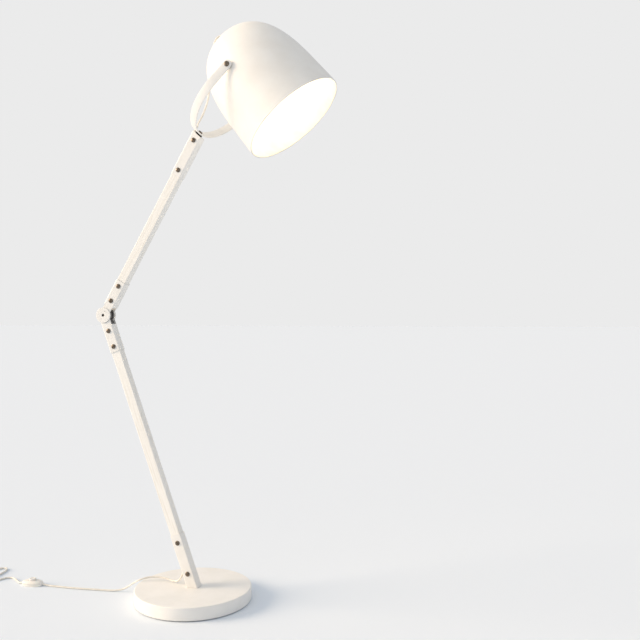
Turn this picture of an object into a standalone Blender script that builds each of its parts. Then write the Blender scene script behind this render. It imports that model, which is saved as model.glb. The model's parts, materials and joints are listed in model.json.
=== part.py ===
"""Adjustable arm floor lamp.

A round steel base carries two wooden arms joined by a friction elbow, with sheet steel
sleeves at their ends. A U-shaped yoke swivels on the upper arm and a domed shade tilts in
it. Metres, +Z up, +X towards the lamp's front, base centre at the origin.
"""

from math import atan2, cos, hypot, pi, radians, sin, sqrt, tan

import bmesh
import bpy
from mathutils import Matrix, Vector

# Clearances
GAP = 0.0003  # between pieces that touch
HOLE_FIT = 0.0003  # radial play of a shank in its hole

# Base
BASE_RADIUS = 0.140
BASE_THICK = 0.0306
BASE_EDGE_ROUND = 0.0028
PAD_THICK = 0.0017
PAD_MARGIN = 0.006
BASE_STEPS = 64

# Arms
FOOT_X = 0.0022  # where the lower arm's axis meets the base top
LOWER_LEAN = radians(19.83)
LOWER_LENGTH = 0.6967  # base top to elbow axis
UPPER_LEAN = radians(29.80)
UPPER_LENGTH = 0.5056  # elbow axis to the yoke strap
BAR_DEPTH = 0.0240  # front to back
BAR_WIDTH = 0.0226
BAR_ROUND = 0.0016
CHANNEL_WIDTH = 0.0080
CHANNEL_DEPTH = 0.0085

# Sleeves
SLEEVE_WALL = 0.0012
SLEEVE_ROUND = 0.0022
ELBOW_SLEEVE_START = 0.0273  # distances along an arm from the elbow axis
ELBOW_SLEEVE_END = 0.0955
END_PLATE = 0.0034
FOOT_SLEEVE_LENGTH = 0.1317
FOOT_BLOCK = 0.0225
TOP_SLEEVE_START = 0.3885
TOP_BLOCK = 0.0300
ELBOW_SCREWS = (0.0413, 0.0821)
FOOT_SCREWS = (0.1116, 0.0345)  # distances up the arm from the base top
TOP_SCREWS = (0.1023, 0.0221)  # distances down the arm from the strap

# Binding screws through the arms
SCREW_HEAD_RADIUS = 0.0058
SCREW_HEAD_HEIGHT = 0.0024
SCREW_SHANK_RADIUS = 0.0023
SCREW_SLOT_WIDTH = 0.0012
SCREW_SLOT_DEPTH = 0.0009

# Foot bolt
FOOT_BOLT_RADIUS = 0.0030
FOOT_BOLT_REACH = 0.0120
FOOT_BOLT_OFFSET = 0.0023
FOOT_BOLT_HEAD = 0.0060

# Elbow
EAR_RADIUS = 0.0180
EAR_THICK = 0.0026
EAR_NECK = 0.0220
CHEEK_CLEARANCE = 0.0006
KNUCKLE_THICK = 0.0172
KNUCKLE_NECK = 0.0180
WASHER_THICK = 0.0007
WASHER_RADIUS = 0.0165
CAP_RADIUS = 0.0190
CAP_THICK = 0.0024
CAP_ROUND = 0.0007
PIVOT_RADIUS = 0.0040
CAP_HOLE_RADIUS = 0.0035
PIN_HOLE_RADIUS = 0.0015
PIN_HOLE_PLACE = 0.0109
GROOVE_DEPTH = 0.0060
GROOVE_WIDTH = 0.0054

# Cables in the arms
CABLE_RADIUS = 0.00225
CABLE_BACK = 0.0063  # behind the arm's axis
CABLE_WRAP = 0.0145  # round the elbow axis
FOOT_CABLE_END = 0.0718  # up the arm from the base top, where the cable leaves its channel

# Yoke
YOKE_LEAN = radians(44.6)
YOKE_REACH = 0.1657  # strap middle to tilt axis
YOKE_HALF = 0.1200
YOKE_BEND = 0.1156
STRAP_THICK = 0.0030
STRAP_WIDTH = 0.0200
YOKE_BOLT_RADIUS = 0.0030
YOKE_BOLT_HEAD = 0.0055
YOKE_BOLT_REACH = 0.0120
YOKE_WASHER_RADIUS = 0.0090
YOKE_SPACE = 0.0039  # sleeve top to strap

# Shade
SHADE_TILT = radians(39.92)
SHADE_LENGTH = 0.2565
DOME_LENGTH = 0.1897
DOME_RADIUS = 0.1166
SHADE_FLARE = 0.0438
DOME_POWER = 2.82
SHADE_WALL = 0.0012
RIM_BEAD = 0.0017
TILT_DEPTH = 0.1033  # tilt axis below the crown
TILT_BACK = 0.0289  # tilt axis behind the shade's axis
VENT_COUNT = 12
VENT_RADIUS = 0.0027
VENT_CIRCLE = 0.0551
SHADE_STEPS = 44

# Tilt screws
TILT_SHANK_RADIUS = 0.0024
TILT_HEAD_RADIUS = 0.0060
TILT_HEAD_HEIGHT = 0.0036
SPACER_RADIUS = 0.0070
NUT_RADIUS = 0.0060
NUT_THICK = 0.0055

# Lamp holder and bulb
GLAND_RADIUS = 0.0190
GLAND_THICK = 0.0030
GLAND_BOSS_RADIUS = 0.0065
GLAND_BOSS_HEIGHT = 0.0062
NIPPLE_RADIUS = 0.0050
NIPPLE_LENGTH = 0.0180
GLAND_NUT_RADIUS = 0.0110
GLAND_NUT_THICK = 0.0040
HOLDER_RADIUS = 0.0195
HOLDER_LENGTH = 0.0580
HOLDER_WALL = 0.0045
BULB_CAP_RADIUS = 0.0130
BULB_CAP_LENGTH = 0.0250
BULB_RADIUS = 0.0300
BULB_LENGTH = 0.0840

# Foot switch
SWITCH_PLACE = (-0.4385, -0.0075)
SWITCH_TURN = radians(3.0)
SWITCH_LENGTH = 0.0560
SWITCH_WIDTH = 0.0290
SWITCH_BASE_HEIGHT = 0.0050
SWITCH_HEIGHT = 0.0130
SWITCH_WALL = 0.0018
BUTTON_RADIUS = 0.0090
BUTTON_RISE = 0.0048
BUTTON_TRAVEL = 0.0025
BUTTON_SKIRT = 0.0097

# Cord
CORD_RADIUS = 0.00225
RELIEF_ROOT = 0.0031
RELIEF_TIP = 0.0026
COIL_CENTRE = (-0.6300, -0.0200)
COIL_TURN_RADIUS = 0.0250  # to the middle of its turns
COIL_LAYERS = 3
PLUG_PLACE = (-0.6131, -0.0752)
PLUG_TURN = radians(-33.0)
PLUG_LENGTH = 0.0360
PLUG_WIDTH = 0.0330
PLUG_HEIGHT = 0.0140
PIN_RADIUS = 0.0024
PIN_LENGTH = 0.0190
PIN_SPACING = 0.0190

# Routes, chosen by hand: x, y, z
RELIEF_ROUTE = (
    (-0.02854, 0.0, 0.09750),
    (-0.02630, 0.0, 0.09050),
    (-0.02520, 0.0, 0.08350),
    (-0.02520, 0.0, 0.07650),
    (-0.02620, 0.0, 0.06950),
)
SWITCH_ROUTE = (
    (-0.02626, 0.0, 0.06920),
    (-0.02900, 0.0006, 0.05900),
    (-0.03450, 0.0020, 0.04850),
    (-0.04300, 0.0050, 0.04000),
    (-0.05600, 0.0095, 0.03720),
    (-0.07800, 0.0140, 0.04000),
    (-0.10100, 0.0150, 0.04150),
    (-0.12200, 0.0100, 0.04080),
    (-0.13950, 0.0010, 0.03700),
    (-0.15200, 0.0, 0.03120),
    (-0.16400, 0.0045, 0.02350),
    (-0.17600, 0.0070, 0.01500),
    (-0.18900, 0.0060, 0.00750),
    (-0.20500, 0.0030, 0.00360),
    (-0.22600, 0.0, 0.00255),
    (-0.26500, -0.0035, 0.00255),
    (-0.31700, -0.0075, 0.00255),
    (-0.36600, -0.0075, 0.00255),
    (-0.39500, -0.0068, 0.00290),
    (-0.41020, -0.0061, 0.00420),
)
COIL_ROUTE = (
    (-0.46680, -0.0090, 0.00420),
    (-0.47600, -0.0078, 0.00300),
    (-0.48800, 0.0010, 0.00255),
    (-0.50200, 0.0120, 0.00255),
    (-0.51800, 0.0200, 0.00255),
    (-0.53200, 0.0170, 0.00255),
    (-0.54000, 0.0040, 0.00255),
    (-0.54900, -0.0080, 0.00255),
    (-0.56000, -0.0010, 0.00255),
    (-0.56600, 0.0200, 0.00255),
    (-0.56800, 0.0450, 0.00255),
    (-0.57200, 0.0680, 0.00255),
    (-0.58200, 0.0820, 0.00255),
    (-0.59400, 0.0800, 0.00255),
    (-0.60200, 0.0650, 0.00255),
    (-0.60800, 0.0450, 0.00255),
    (-0.61700, 0.0240, 0.00255),
    (-0.62600, 0.0141, 0.00255),
)
TAIL_ROUTE = (
    (-0.6630, -0.0200, 0.00560),
    (-0.6730, -0.0280, 0.00420),
    (-0.6740, -0.0420, 0.00300),
    (-0.6650, -0.0530, 0.00290),
    (-0.6500, -0.0570, 0.00400),
    (-0.6350, -0.0610, 0.00600),
    (-0.6285, -0.0652, 0.00690),
)
# The head cable's points are measured from the middle of the yoke strap
HEAD_ROUTE = (
    (-0.0119, 0.0160, 0.0270),
    (-0.0094, 0.0225, 0.0365),
    (-0.0064, 0.0290, 0.0480),
    (-0.0036, 0.0355, 0.0615),
    (-0.0011, 0.0410, 0.0755),
    (0.0016, 0.0455, 0.0915),
    (0.0035, 0.0475, 0.1075),
    (0.0060, 0.0460, 0.1230),
    (0.0105, 0.0400, 0.1420),
    (0.0180, 0.0300, 0.1660),
    (0.0260, 0.0190, 0.1870),
    (0.0325, 0.0090, 0.2030),
    (0.0370, 0.0025, 0.2145),
    (0.0430, 0.0, 0.2240),
    (0.0515, 0.0, 0.2285),
    (0.0600, 0.0, 0.2280),
    (0.0655, 0.0, 0.2239),
    (0.0680, 0.0, 0.2209),
)

BASE_TOP = PAD_THICK + GAP + BASE_THICK


def clear_scene():
    for item in list(bpy.data.objects):
        bpy.data.objects.remove(item, do_unlink=True)


def finish(name, colour, roughness, metallic=0.0):
    made = bpy.data.materials.new(name)
    made.use_nodes = True
    shader = made.node_tree.nodes["Principled BSDF"]
    shader.inputs["Base Color"].default_value = (*colour, 1.0)
    shader.inputs["Roughness"].default_value = roughness
    shader.inputs["Metallic"].default_value = metallic
    made.diffuse_color = (*colour, 1.0)
    return made


def frame(name, place, lean=0.0):
    """An empty whose own Z leans forward from the vertical by the given angle."""
    made = bpy.data.objects.new(name, None)
    bpy.context.scene.collection.objects.link(made)
    made.location = place
    made.rotation_euler = (0.0, lean, 0.0)
    return made


def piece(name, mesh, look, parent=None):
    data = bpy.data.meshes.new(name)
    bmesh.ops.recalc_face_normals(mesh, faces=mesh.faces)
    mesh.to_mesh(data)
    mesh.free()
    made = bpy.data.objects.new(name, data)
    bpy.context.scene.collection.objects.link(made)
    data.materials.append(look)
    made.parent = parent
    return made


def cutter(name, mesh, parent=None):
    made = piece(name, mesh, LOOKS["tool"], parent)
    made.hide_render = True
    made.display_type = "WIRE"
    return made


def combine(target, operation, *others):
    for other in others:
        step = target.modifiers.new(other.name, "BOOLEAN")
        step.operation = operation
        step.solver = "EXACT"
        step.object = other


def cut(target, *others):
    combine(target, "DIFFERENCE", *others)


def join(target, *others):
    combine(target, "UNION", *others)


# Mesh builders


def arc(centre, radius, start, end, steps):
    turn = (end - start) / steps
    return [
        (centre[0] + radius * cos(start + turn * i), centre[1] + radius * sin(start + turn * i))
        for i in range(steps + 1)
    ]


def rounded_box_outline(half_x, half_y, radius, steps=2):
    points = []
    for sx, sy, start in ((-1, -1, pi), (1, -1, 1.5 * pi), (1, 1, 0.0), (-1, 1, 0.5 * pi)):
        centre = (sx * (half_x - radius), sy * (half_y - radius))
        points += arc(centre, radius, start, start + pi / 2, steps)
    return points


def channel_outline(half_x, half_y, radius, half_slot, slot_floor):
    """A rounded bar section with a slot in its back face, from -X down to slot_floor."""
    slot = [(-half_x, half_slot), (slot_floor, half_slot)]
    slot += [(slot_floor, -half_slot), (-half_x, -half_slot)]
    return slot + rounded_box_outline(half_x, half_y, radius)


def prism(outline, low, high, low_slope=0.0, high_slope=0.0):
    """A closed prism along Z, whose end planes rise along X by the given slopes."""
    mesh = bmesh.new()
    bottom = [mesh.verts.new((x, y, low + low_slope * x)) for x, y in outline]
    top = [mesh.verts.new((x, y, high + high_slope * x)) for x, y in outline]
    count = len(outline)
    mesh.faces.new(list(reversed(bottom)))
    mesh.faces.new(top)
    for i in range(count):
        j = (i + 1) % count
        mesh.faces.new((bottom[i], bottom[j], top[j], top[i]))
    return mesh


def plate(outline, low, high):
    """A closed plate of an X-Z outline, from y = low to y = high."""
    mesh = prism([(x, -z) for x, z in outline], low, high)
    bmesh.ops.rotate(mesh, verts=mesh.verts, matrix=Matrix.Rotation(-pi / 2, 3, "X"))
    return mesh


def lathe(profile, steps, along="Z"):
    """A solid of revolution. A point at radius 0 becomes one vertex; otherwise the profile is a loop."""
    mesh = bmesh.new()
    rings = []
    for radius, height in profile:
        if radius < 1e-6:
            rings.append([mesh.verts.new((0.0, 0.0, height))])
            continue
        turn = 2 * pi / steps
        ring = [(radius * cos(turn * i), radius * sin(turn * i), height) for i in range(steps)]
        rings.append([mesh.verts.new(point) for point in ring])
    pairs = list(zip(rings, rings[1:]))
    if len(rings[0]) > 1 and len(rings[-1]) > 1:
        pairs.append((rings[-1], rings[0]))
    for lower, upper in pairs:
        for i in range(steps):
            j = (i + 1) % steps
            if len(lower) == 1 and len(upper) == 1:
                continue
            if len(lower) == 1:
                mesh.faces.new((lower[0], upper[j], upper[i]))
            elif len(upper) == 1:
                mesh.faces.new((lower[i], lower[j], upper[0]))
            else:
                mesh.faces.new((lower[i], lower[j], upper[j], upper[i]))
    if along == "Y":
        bmesh.ops.rotate(mesh, verts=mesh.verts, matrix=Matrix.Rotation(-pi / 2, 3, "X"))
    return mesh


def rod(radius, low, high, along="Z", steps=12):
    return lathe([(0.0, low), (radius, low), (radius, high), (0.0, high)], steps, along)


def tube(inner, outer, low, high, along="Z", steps=18):
    return lathe([(inner, low), (outer, low), (outer, high), (inner, high)], steps, along)


def block(low, high):
    mesh = bmesh.new()
    bmesh.ops.create_cube(mesh, size=1.0)
    for vertex in mesh.verts:
        for axis in range(3):
            vertex.co[axis] = low[axis] if vertex.co[axis] < 0 else high[axis]
    return mesh


def shifted(mesh, place, turn=0.0):
    bmesh.ops.rotate(mesh, verts=mesh.verts, matrix=Matrix.Rotation(turn, 3, "Z"))
    bmesh.ops.translate(mesh, verts=mesh.verts, vec=place)
    return mesh


def offset_profile(points, distance):
    """The points moved to the left of the profile's direction of travel."""
    moved = []
    for i, point in enumerate(points):
        before = points[max(i - 1, 0)]
        after = points[min(i + 1, len(points) - 1)]
        dx, dz = after[0] - before[0], after[1] - before[1]
        length = hypot(dx, dz)
        moved.append((point[0] - dz / length * distance, point[1] + dx / length * distance))
    return moved


def smooth_route(points, spacing):
    """Evenly spaced points on a centripetal Catmull-Rom curve through the given points."""
    knots = [Vector(p) for p in points]
    ends = [2 * knots[0] - knots[1], *knots, 2 * knots[-1] - knots[-2]]
    dense = []
    for p0, p1, p2, p3 in zip(ends, ends[1:], ends[2:], ends[3:]):
        t0 = 0.0
        t1 = t0 + sqrt((p1 - p0).length)
        t2 = t1 + sqrt((p2 - p1).length)
        t3 = t2 + sqrt((p3 - p2).length)
        for i in range(24):
            t = t1 + (t2 - t1) * i / 24
            a1 = p0.lerp(p1, (t - t0) / (t1 - t0))
            a2 = p1.lerp(p2, (t - t1) / (t2 - t1))
            a3 = p2.lerp(p3, (t - t2) / (t3 - t2))
            b1 = a1.lerp(a2, (t - t0) / (t2 - t0))
            b2 = a2.lerp(a3, (t - t1) / (t3 - t1))
            dense.append(b1.lerp(b2, (t - t1) / (t2 - t1)))
    dense.append(knots[-1])
    reach = [0.0]
    for one, two in zip(dense, dense[1:]):
        reach.append(reach[-1] + (two - one).length)
    count = max(2, round(reach[-1] / spacing))
    found = []
    place = 0
    for i in range(count + 1):
        want = reach[-1] * i / count
        while place < len(reach) - 2 and reach[place + 1] < want:
            place += 1
        share = (want - reach[place]) / (reach[place + 1] - reach[place])
        found.append(dense[place].lerp(dense[place + 1], share))
    return found


def cord(name, points, radius, look, spacing=0.0112, tip=None):
    """A round cord along a smooth route, tapering from radius to tip where one is given."""
    data = bpy.data.curves.new(name, "CURVE")
    data.dimensions = "3D"
    data.bevel_depth = radius
    data.bevel_resolution = 2
    data.use_fill_caps = True
    line = data.splines.new("POLY")
    route = smooth_route(points, spacing)
    line.points.add(len(route) - 1)
    for i, (point, place) in enumerate(zip(line.points, route)):
        point.co = (*place, 1.0)
        if tip is not None:
            point.radius = 1.0 + (tip / radius - 1.0) * i / (len(route) - 1)
    made = bpy.data.objects.new(name, data)
    bpy.context.scene.collection.objects.link(made)
    data.materials.append(look)
    return made


def on_frame(empty, x, z, y=0.0):
    """The world place of a point given in an empty's own axes."""
    turned = Matrix.Rotation(empty.rotation_euler[1], 3, "Y") @ Vector((x, y, z))
    return Vector(empty.location) + turned


# Base and lower arm


def make_base():
    bolt_x = FOOT_X + FOOT_BOLT_OFFSET
    edge = BASE_RADIUS - BASE_EDGE_ROUND
    low = PAD_THICK + GAP
    profile = [(0.0, low), (BASE_RADIUS - 0.0008, low), (BASE_RADIUS, low + 0.0008)]
    profile += arc((edge, BASE_TOP - BASE_EDGE_ROUND), BASE_EDGE_ROUND, 0.0, pi / 2, 4)
    profile.append((0.0, BASE_TOP))
    weight = piece("base_weight", lathe(profile, BASE_STEPS), LOOKS["steel_white"])
    bore = rod(FOOT_BOLT_RADIUS + HOLE_FIT, 0.0, 2 * BASE_TOP)
    sink = rod(FOOT_BOLT_HEAD + 2 * HOLE_FIT, 0.0, low + FOOT_BOLT_HEAD + GAP)
    for name, mesh in (("cut_foot_bore", bore), ("cut_foot_sink", sink)):
        cut(weight, cutter(name, shifted(mesh, (bolt_x, 0.0, 0.0))))
    pad = BASE_RADIUS - PAD_MARGIN
    piece("base_pad", rod(pad, 0.0, PAD_THICK, steps=BASE_STEPS // 2), LOOKS["rubber_dark"])
    head_top = low + FOOT_BOLT_HEAD
    tip = BASE_TOP + FOOT_BOLT_REACH
    bolt = lathe(
        [
            (0.0, low + GAP),
            (FOOT_BOLT_HEAD, low + GAP),
            (FOOT_BOLT_HEAD, head_top),
            (FOOT_BOLT_RADIUS, head_top),
            (FOOT_BOLT_RADIUS, tip),
            (0.0, tip),
        ],
        16,
    )
    piece("foot_bolt", shifted(bolt, (bolt_x, 0.0, 0.0)), LOOKS["steel_bare"])


def arm_screw(name, parent, height):
    """A binding screw with a slotted domed head on each side of the arm."""
    seat = BAR_WIDTH / 2 + GAP + SLEEVE_WALL + GAP
    radius = SCREW_HEAD_RADIUS
    top = seat + SCREW_HEAD_HEIGHT
    half = [
        (SCREW_SHANK_RADIUS, seat),
        (radius, seat),
        (radius, seat + 0.25 * SCREW_HEAD_HEIGHT),
        (0.9 * radius, seat + 0.6 * SCREW_HEAD_HEIGHT),
        (0.55 * radius, seat + 0.92 * SCREW_HEAD_HEIGHT),
        (0.0, top),
    ]
    profile = [(r, -y) for r, y in reversed(half)] + half
    made = piece(name, lathe(profile, 12, "Y"), LOOKS["steel_bronze"], parent)
    made.location = (0.0, 0.0, height)
    reach = radius + GAP
    width = SCREW_SLOT_WIDTH / 2
    for side in (-1, 1):
        floor, over = sorted((side * (top - SCREW_SLOT_DEPTH), side * (top + 0.001)))
        slot = block((-reach, floor, -width), (reach, over, width))
        slot = cutter(f"cut_{name}_{side + 1}", slot, parent)
        slot.location = made.location
        cut(made, slot)


def screw_hole(name, parent, height):
    reach = BAR_WIDTH
    made = cutter(name, rod(SCREW_SHANK_RADIUS + HOLE_FIT, -reach, reach, "Y"), parent)
    made.location = (0.0, 0.0, height)
    return made


def sleeve_halves():
    inner_x = BAR_DEPTH / 2 + GAP
    inner_y = BAR_WIDTH / 2 + GAP
    return inner_x, inner_y, inner_x + SLEEVE_WALL, inner_y + SLEEVE_WALL


def bar_outline():
    floor = CHANNEL_DEPTH - BAR_DEPTH / 2
    return channel_outline(BAR_DEPTH / 2, BAR_WIDTH / 2, BAR_ROUND, CHANNEL_WIDTH / 2, floor)


def sleeve_outline():
    floor = CHANNEL_DEPTH - BAR_DEPTH / 2
    half_x, half_y = sleeve_halves()[2:]
    return channel_outline(half_x, half_y, SLEEVE_ROUND, CHANNEL_WIDTH / 2, floor)


def cavity(name, parent, low, high):
    inner_x, inner_y = sleeve_halves()[:2]
    return cutter(name, block((-inner_x, -inner_y, low), (inner_x, inner_y, high)), parent)


def make_lower_arm(elbow):
    end = -LOWER_LENGTH
    slope = -tan(LOWER_LEAN)
    foot_low = end + GAP / cos(LOWER_LEAN)
    plug_end = -(ELBOW_SCREWS[0] + 0.0084)
    holes = [
        *[screw_hole(f"cut_lower_hole_{i}", elbow, -z) for i, z in enumerate(ELBOW_SCREWS)],
        *[screw_hole(f"cut_foot_hole_{i}", elbow, end + z) for i, z in enumerate(FOOT_SCREWS)],
    ]
    bar = prism(bar_outline(), end + FOOT_BLOCK + GAP, plug_end - GAP)
    cut(piece("lower_arm_bar", bar, LOOKS["wood_white"], elbow), *holes[1:])

    foot_top = end + FOOT_SLEEVE_LENGTH
    foot = prism(sleeve_outline(), foot_low, foot_top, slope)
    foot = piece("foot_sleeve", foot, LOOKS["steel_white"], elbow)
    bolt_hole = rod(FOOT_BOLT_RADIUS + HOLE_FIT, 0.0, BASE_TOP + FOOT_BOLT_REACH + GAP)
    bolt_x = FOOT_X + FOOT_BOLT_OFFSET
    cut(foot, cavity("cut_foot_cavity", elbow, end + FOOT_BLOCK, foot_top + 0.01))
    cut(foot, *holes[2:], cutter("cut_foot_bolt", shifted(bolt_hole, (bolt_x, 0.0, 0.0))))

    inner_y, half_x, half_y = sleeve_halves()[1:]
    cheek = CAP_RADIUS + CHEEK_CLEARANCE
    low = -ELBOW_SLEEVE_END
    sleeve = prism(sleeve_outline(), low, -cheek / 2)
    sleeve = piece("lower_elbow_sleeve", sleeve, LOOKS["steel_white"], elbow)
    over = 2 * half_x
    between = block((-over, -inner_y, -ELBOW_SLEEVE_START - 1e-4), (over, inner_y, 0.0))
    cut(
        sleeve,
        cavity("cut_lower_cavity", elbow, low - 0.01, -ELBOW_SLEEVE_START),
        cutter("cut_cheek_gap", between, elbow),
        cutter("cut_cheek_round", rod(cheek, -2 * half_y, 2 * half_y, "Y", 32), elbow),
        *holes[:2],
    )

    half = KNUCKLE_THICK / 2
    hub = lathe(
        [
            (0.0, -half),
            (EAR_RADIUS, -half),
            (EAR_RADIUS, -GROOVE_WIDTH / 2),
            (EAR_RADIUS - GROOVE_DEPTH, -GROOVE_WIDTH / 2),
            (EAR_RADIUS - GROOVE_DEPTH, GROOVE_WIDTH / 2),
            (EAR_RADIUS, GROOVE_WIDTH / 2),
            (EAR_RADIUS, half),
            (0.0, half),
        ],
        28,
        "Y",
    )
    knuckle = piece("elbow_knuckle", hub, LOOKS["steel_dark"], elbow)
    neck = KNUCKLE_NECK / 2
    side = half - 0.0002
    neck_mesh = block((-neck, -side, -ELBOW_SLEEVE_START - 0.004), (neck, side, -0.006))
    section = rounded_box_outline(BAR_DEPTH / 2, BAR_WIDTH / 2, BAR_ROUND)
    plug_mesh = prism(section, plug_end, -ELBOW_SLEEVE_START)
    join(knuckle, cutter("add_knuckle_neck", neck_mesh, elbow))
    join(knuckle, cutter("add_knuckle_plug", plug_mesh, elbow))
    floor = CHANNEL_DEPTH - BAR_DEPTH / 2
    slot = CHANNEL_WIDTH / 2
    channel = block((-0.03, -slot, plug_end - 0.01), (floor, slot, -0.014))
    cut(
        knuckle,
        cutter("cut_knuckle_channel", channel, elbow),
        cutter("cut_knuckle_bore", rod(PIVOT_RADIUS + HOLE_FIT, -0.02, 0.02, "Y", 18), elbow),
        holes[0],
    )
    for i, z in enumerate(ELBOW_SCREWS):
        arm_screw(f"lower_elbow_screw_{i + 1}", elbow, -z)
    for i, z in enumerate(FOOT_SCREWS):
        arm_screw(f"foot_screw_{i + 1}", elbow, end + z)


# Elbow joint and upper arm


def make_elbow_joint(elbow):
    washer = KNUCKLE_THICK / 2 + GAP
    ear = washer + WASHER_THICK + GAP
    cap = ear + EAR_THICK + GAP
    outer = cap + CAP_THICK
    bore = PIVOT_RADIUS + HOLE_FIT
    for name, side in (("left", 1), ("right", -1)):
        low, high = sorted((side * washer, side * (washer + WASHER_THICK)))
        ring = tube(bore, WASHER_RADIUS, low, high, "Y")
        piece(f"friction_washer_{name}", ring, LOOKS["fibre_dark"], elbow)
    edge = CAP_RADIUS - CAP_ROUND
    rim = arc((edge, outer - CAP_ROUND), CAP_ROUND, 0.0, pi / 2, 3)
    recess = outer - 0.0016
    bolt = [(0.0, recess), (CAP_HOLE_RADIUS, recess), (CAP_HOLE_RADIUS, outer)]
    bolt += list(reversed(rim))
    tip = -cap - 0.0010
    bolt += [(CAP_RADIUS, cap), (PIVOT_RADIUS, cap), (PIVOT_RADIUS, tip), (0.0, tip)]
    nut = [(bore, cap), (CAP_RADIUS, cap)]
    nut += rim
    nut += [(CAP_HOLE_RADIUS, outer), (CAP_HOLE_RADIUS, cap + 0.0013), (bore, cap + 0.0013)]
    parts = (
        ("elbow_bolt", [(r, -y) for r, y in bolt], -1),
        ("elbow_nut", nut, 1),
    )
    for name, profile, side in parts:
        made = piece(name, lathe(profile, 32, "Y"), LOOKS["steel_white"], elbow)
        for i, z in enumerate((-PIN_HOLE_PLACE, PIN_HOLE_PLACE)):
            low, high = sorted((side * (outer - 0.0013), side * (outer + 0.002)))
            hole = cutter(f"cut_{name}_pin_{i}", rod(PIN_HOLE_RADIUS, low, high, "Y", 12), elbow)
            hole.location = (0.0, 0.0, z)
            cut(made, hole)


def make_upper_arm(elbow):
    start = ELBOW_SLEEVE_START
    plate_end = start + END_PLATE
    top = UPPER_LENGTH
    turn = YOKE_LEAN - UPPER_LEAN
    slope = -tan(turn)
    sleeve_top = top - (YOKE_SPACE + STRAP_THICK / 2) / cos(turn)
    block_low = sleeve_top - TOP_BLOCK
    elbow_holes = [screw_hole(f"cut_upper_hole_{i}", elbow, z) for i, z in enumerate(ELBOW_SCREWS)]
    top_holes = [screw_hole(f"cut_top_hole_{i}", elbow, top - z) for i, z in enumerate(TOP_SCREWS)]

    bar = prism(bar_outline(), plate_end + GAP, block_low - GAP)
    bar = piece("upper_arm_bar", bar, LOOKS["wood_white"], elbow)
    cut(bar, *elbow_holes, top_holes[0])

    sleeve = prism(sleeve_outline(), start, ELBOW_SLEEVE_END)
    sleeve = piece("upper_elbow_sleeve", sleeve, LOOKS["steel_white"], elbow)
    cut(sleeve, cavity("cut_upper_cavity", elbow, plate_end, ELBOW_SLEEVE_END + 0.01))
    neck = EAR_NECK / 2
    corner = sqrt(EAR_RADIUS**2 - neck**2)
    angle = atan2(corner, neck)
    outline = [(neck, start + END_PLATE / 2)]
    outline += arc((0.0, 0.0), EAR_RADIUS, angle, -pi - angle, 24)
    outline.append((-neck, start + END_PLATE / 2))
    low = KNUCKLE_THICK / 2 + 2 * GAP + WASHER_THICK
    for name, side in (("left", 1), ("right", -1)):
        ends = sorted((side * low, side * (low + EAR_THICK)))
        join(sleeve, cutter(f"add_ear_{name}", plate(outline, *ends), elbow))
    bore = rod(PIVOT_RADIUS + HOLE_FIT, -0.02, 0.02, "Y", 18)
    cut(sleeve, cutter("cut_ear_bore", bore, elbow), *elbow_holes)

    cap = prism(sleeve_outline(), TOP_SLEEVE_START, sleeve_top, 0.0, slope)
    cap = piece("top_sleeve", cap, LOOKS["steel_white"], elbow)
    cut(cap, cavity("cut_top_cavity", elbow, TOP_SLEEVE_START - 0.01, block_low), *top_holes)
    for i, z in enumerate(ELBOW_SCREWS):
        arm_screw(f"upper_elbow_screw_{i + 1}", elbow, z)
    for i, z in enumerate(TOP_SCREWS):
        arm_screw(f"top_screw_{i + 1}", elbow, top - z)
    return cap


# Yoke


def strap_line():
    """Points of the strap's middle line in its Y-Z plane, with the half width there."""
    start = YOKE_HALF - YOKE_BEND
    half = STRAP_WIDTH / 2
    side = [(start, 0.0, half)]
    for y, z in arc((start, YOKE_BEND), YOKE_BEND, -pi / 2, 0.0, 16)[1:]:
        side.append((y, z, half))
    for i in range(7):
        along = half * sin(pi / 2 * i / 6.2)
        side.append((YOKE_HALF, YOKE_REACH + along, sqrt(half**2 - along**2)))
    return [(-y, z, w) for y, z, w in reversed(side)] + side


def strap_mesh():
    line = strap_line()
    mesh = bmesh.new()
    rows = []
    centre = [(y, z) for y, z, _ in line]
    inner = offset_profile(centre, STRAP_THICK / 2)
    outer = offset_profile(centre, -STRAP_THICK / 2)
    for (iy, iz), (oy, oz), (_, _, half) in zip(inner, outer, line):
        corners = ((-half, iy, iz), (half, iy, iz), (half, oy, oz), (-half, oy, oz))
        rows.append([mesh.verts.new(corner) for corner in corners])
    for one, two in zip(rows, rows[1:]):
        for i in range(4):
            j = (i + 1) % 4
            mesh.faces.new((one[i], one[j], two[j], two[i]))
    mesh.faces.new(rows[0])
    mesh.faces.new(list(reversed(rows[-1])))
    return mesh


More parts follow.
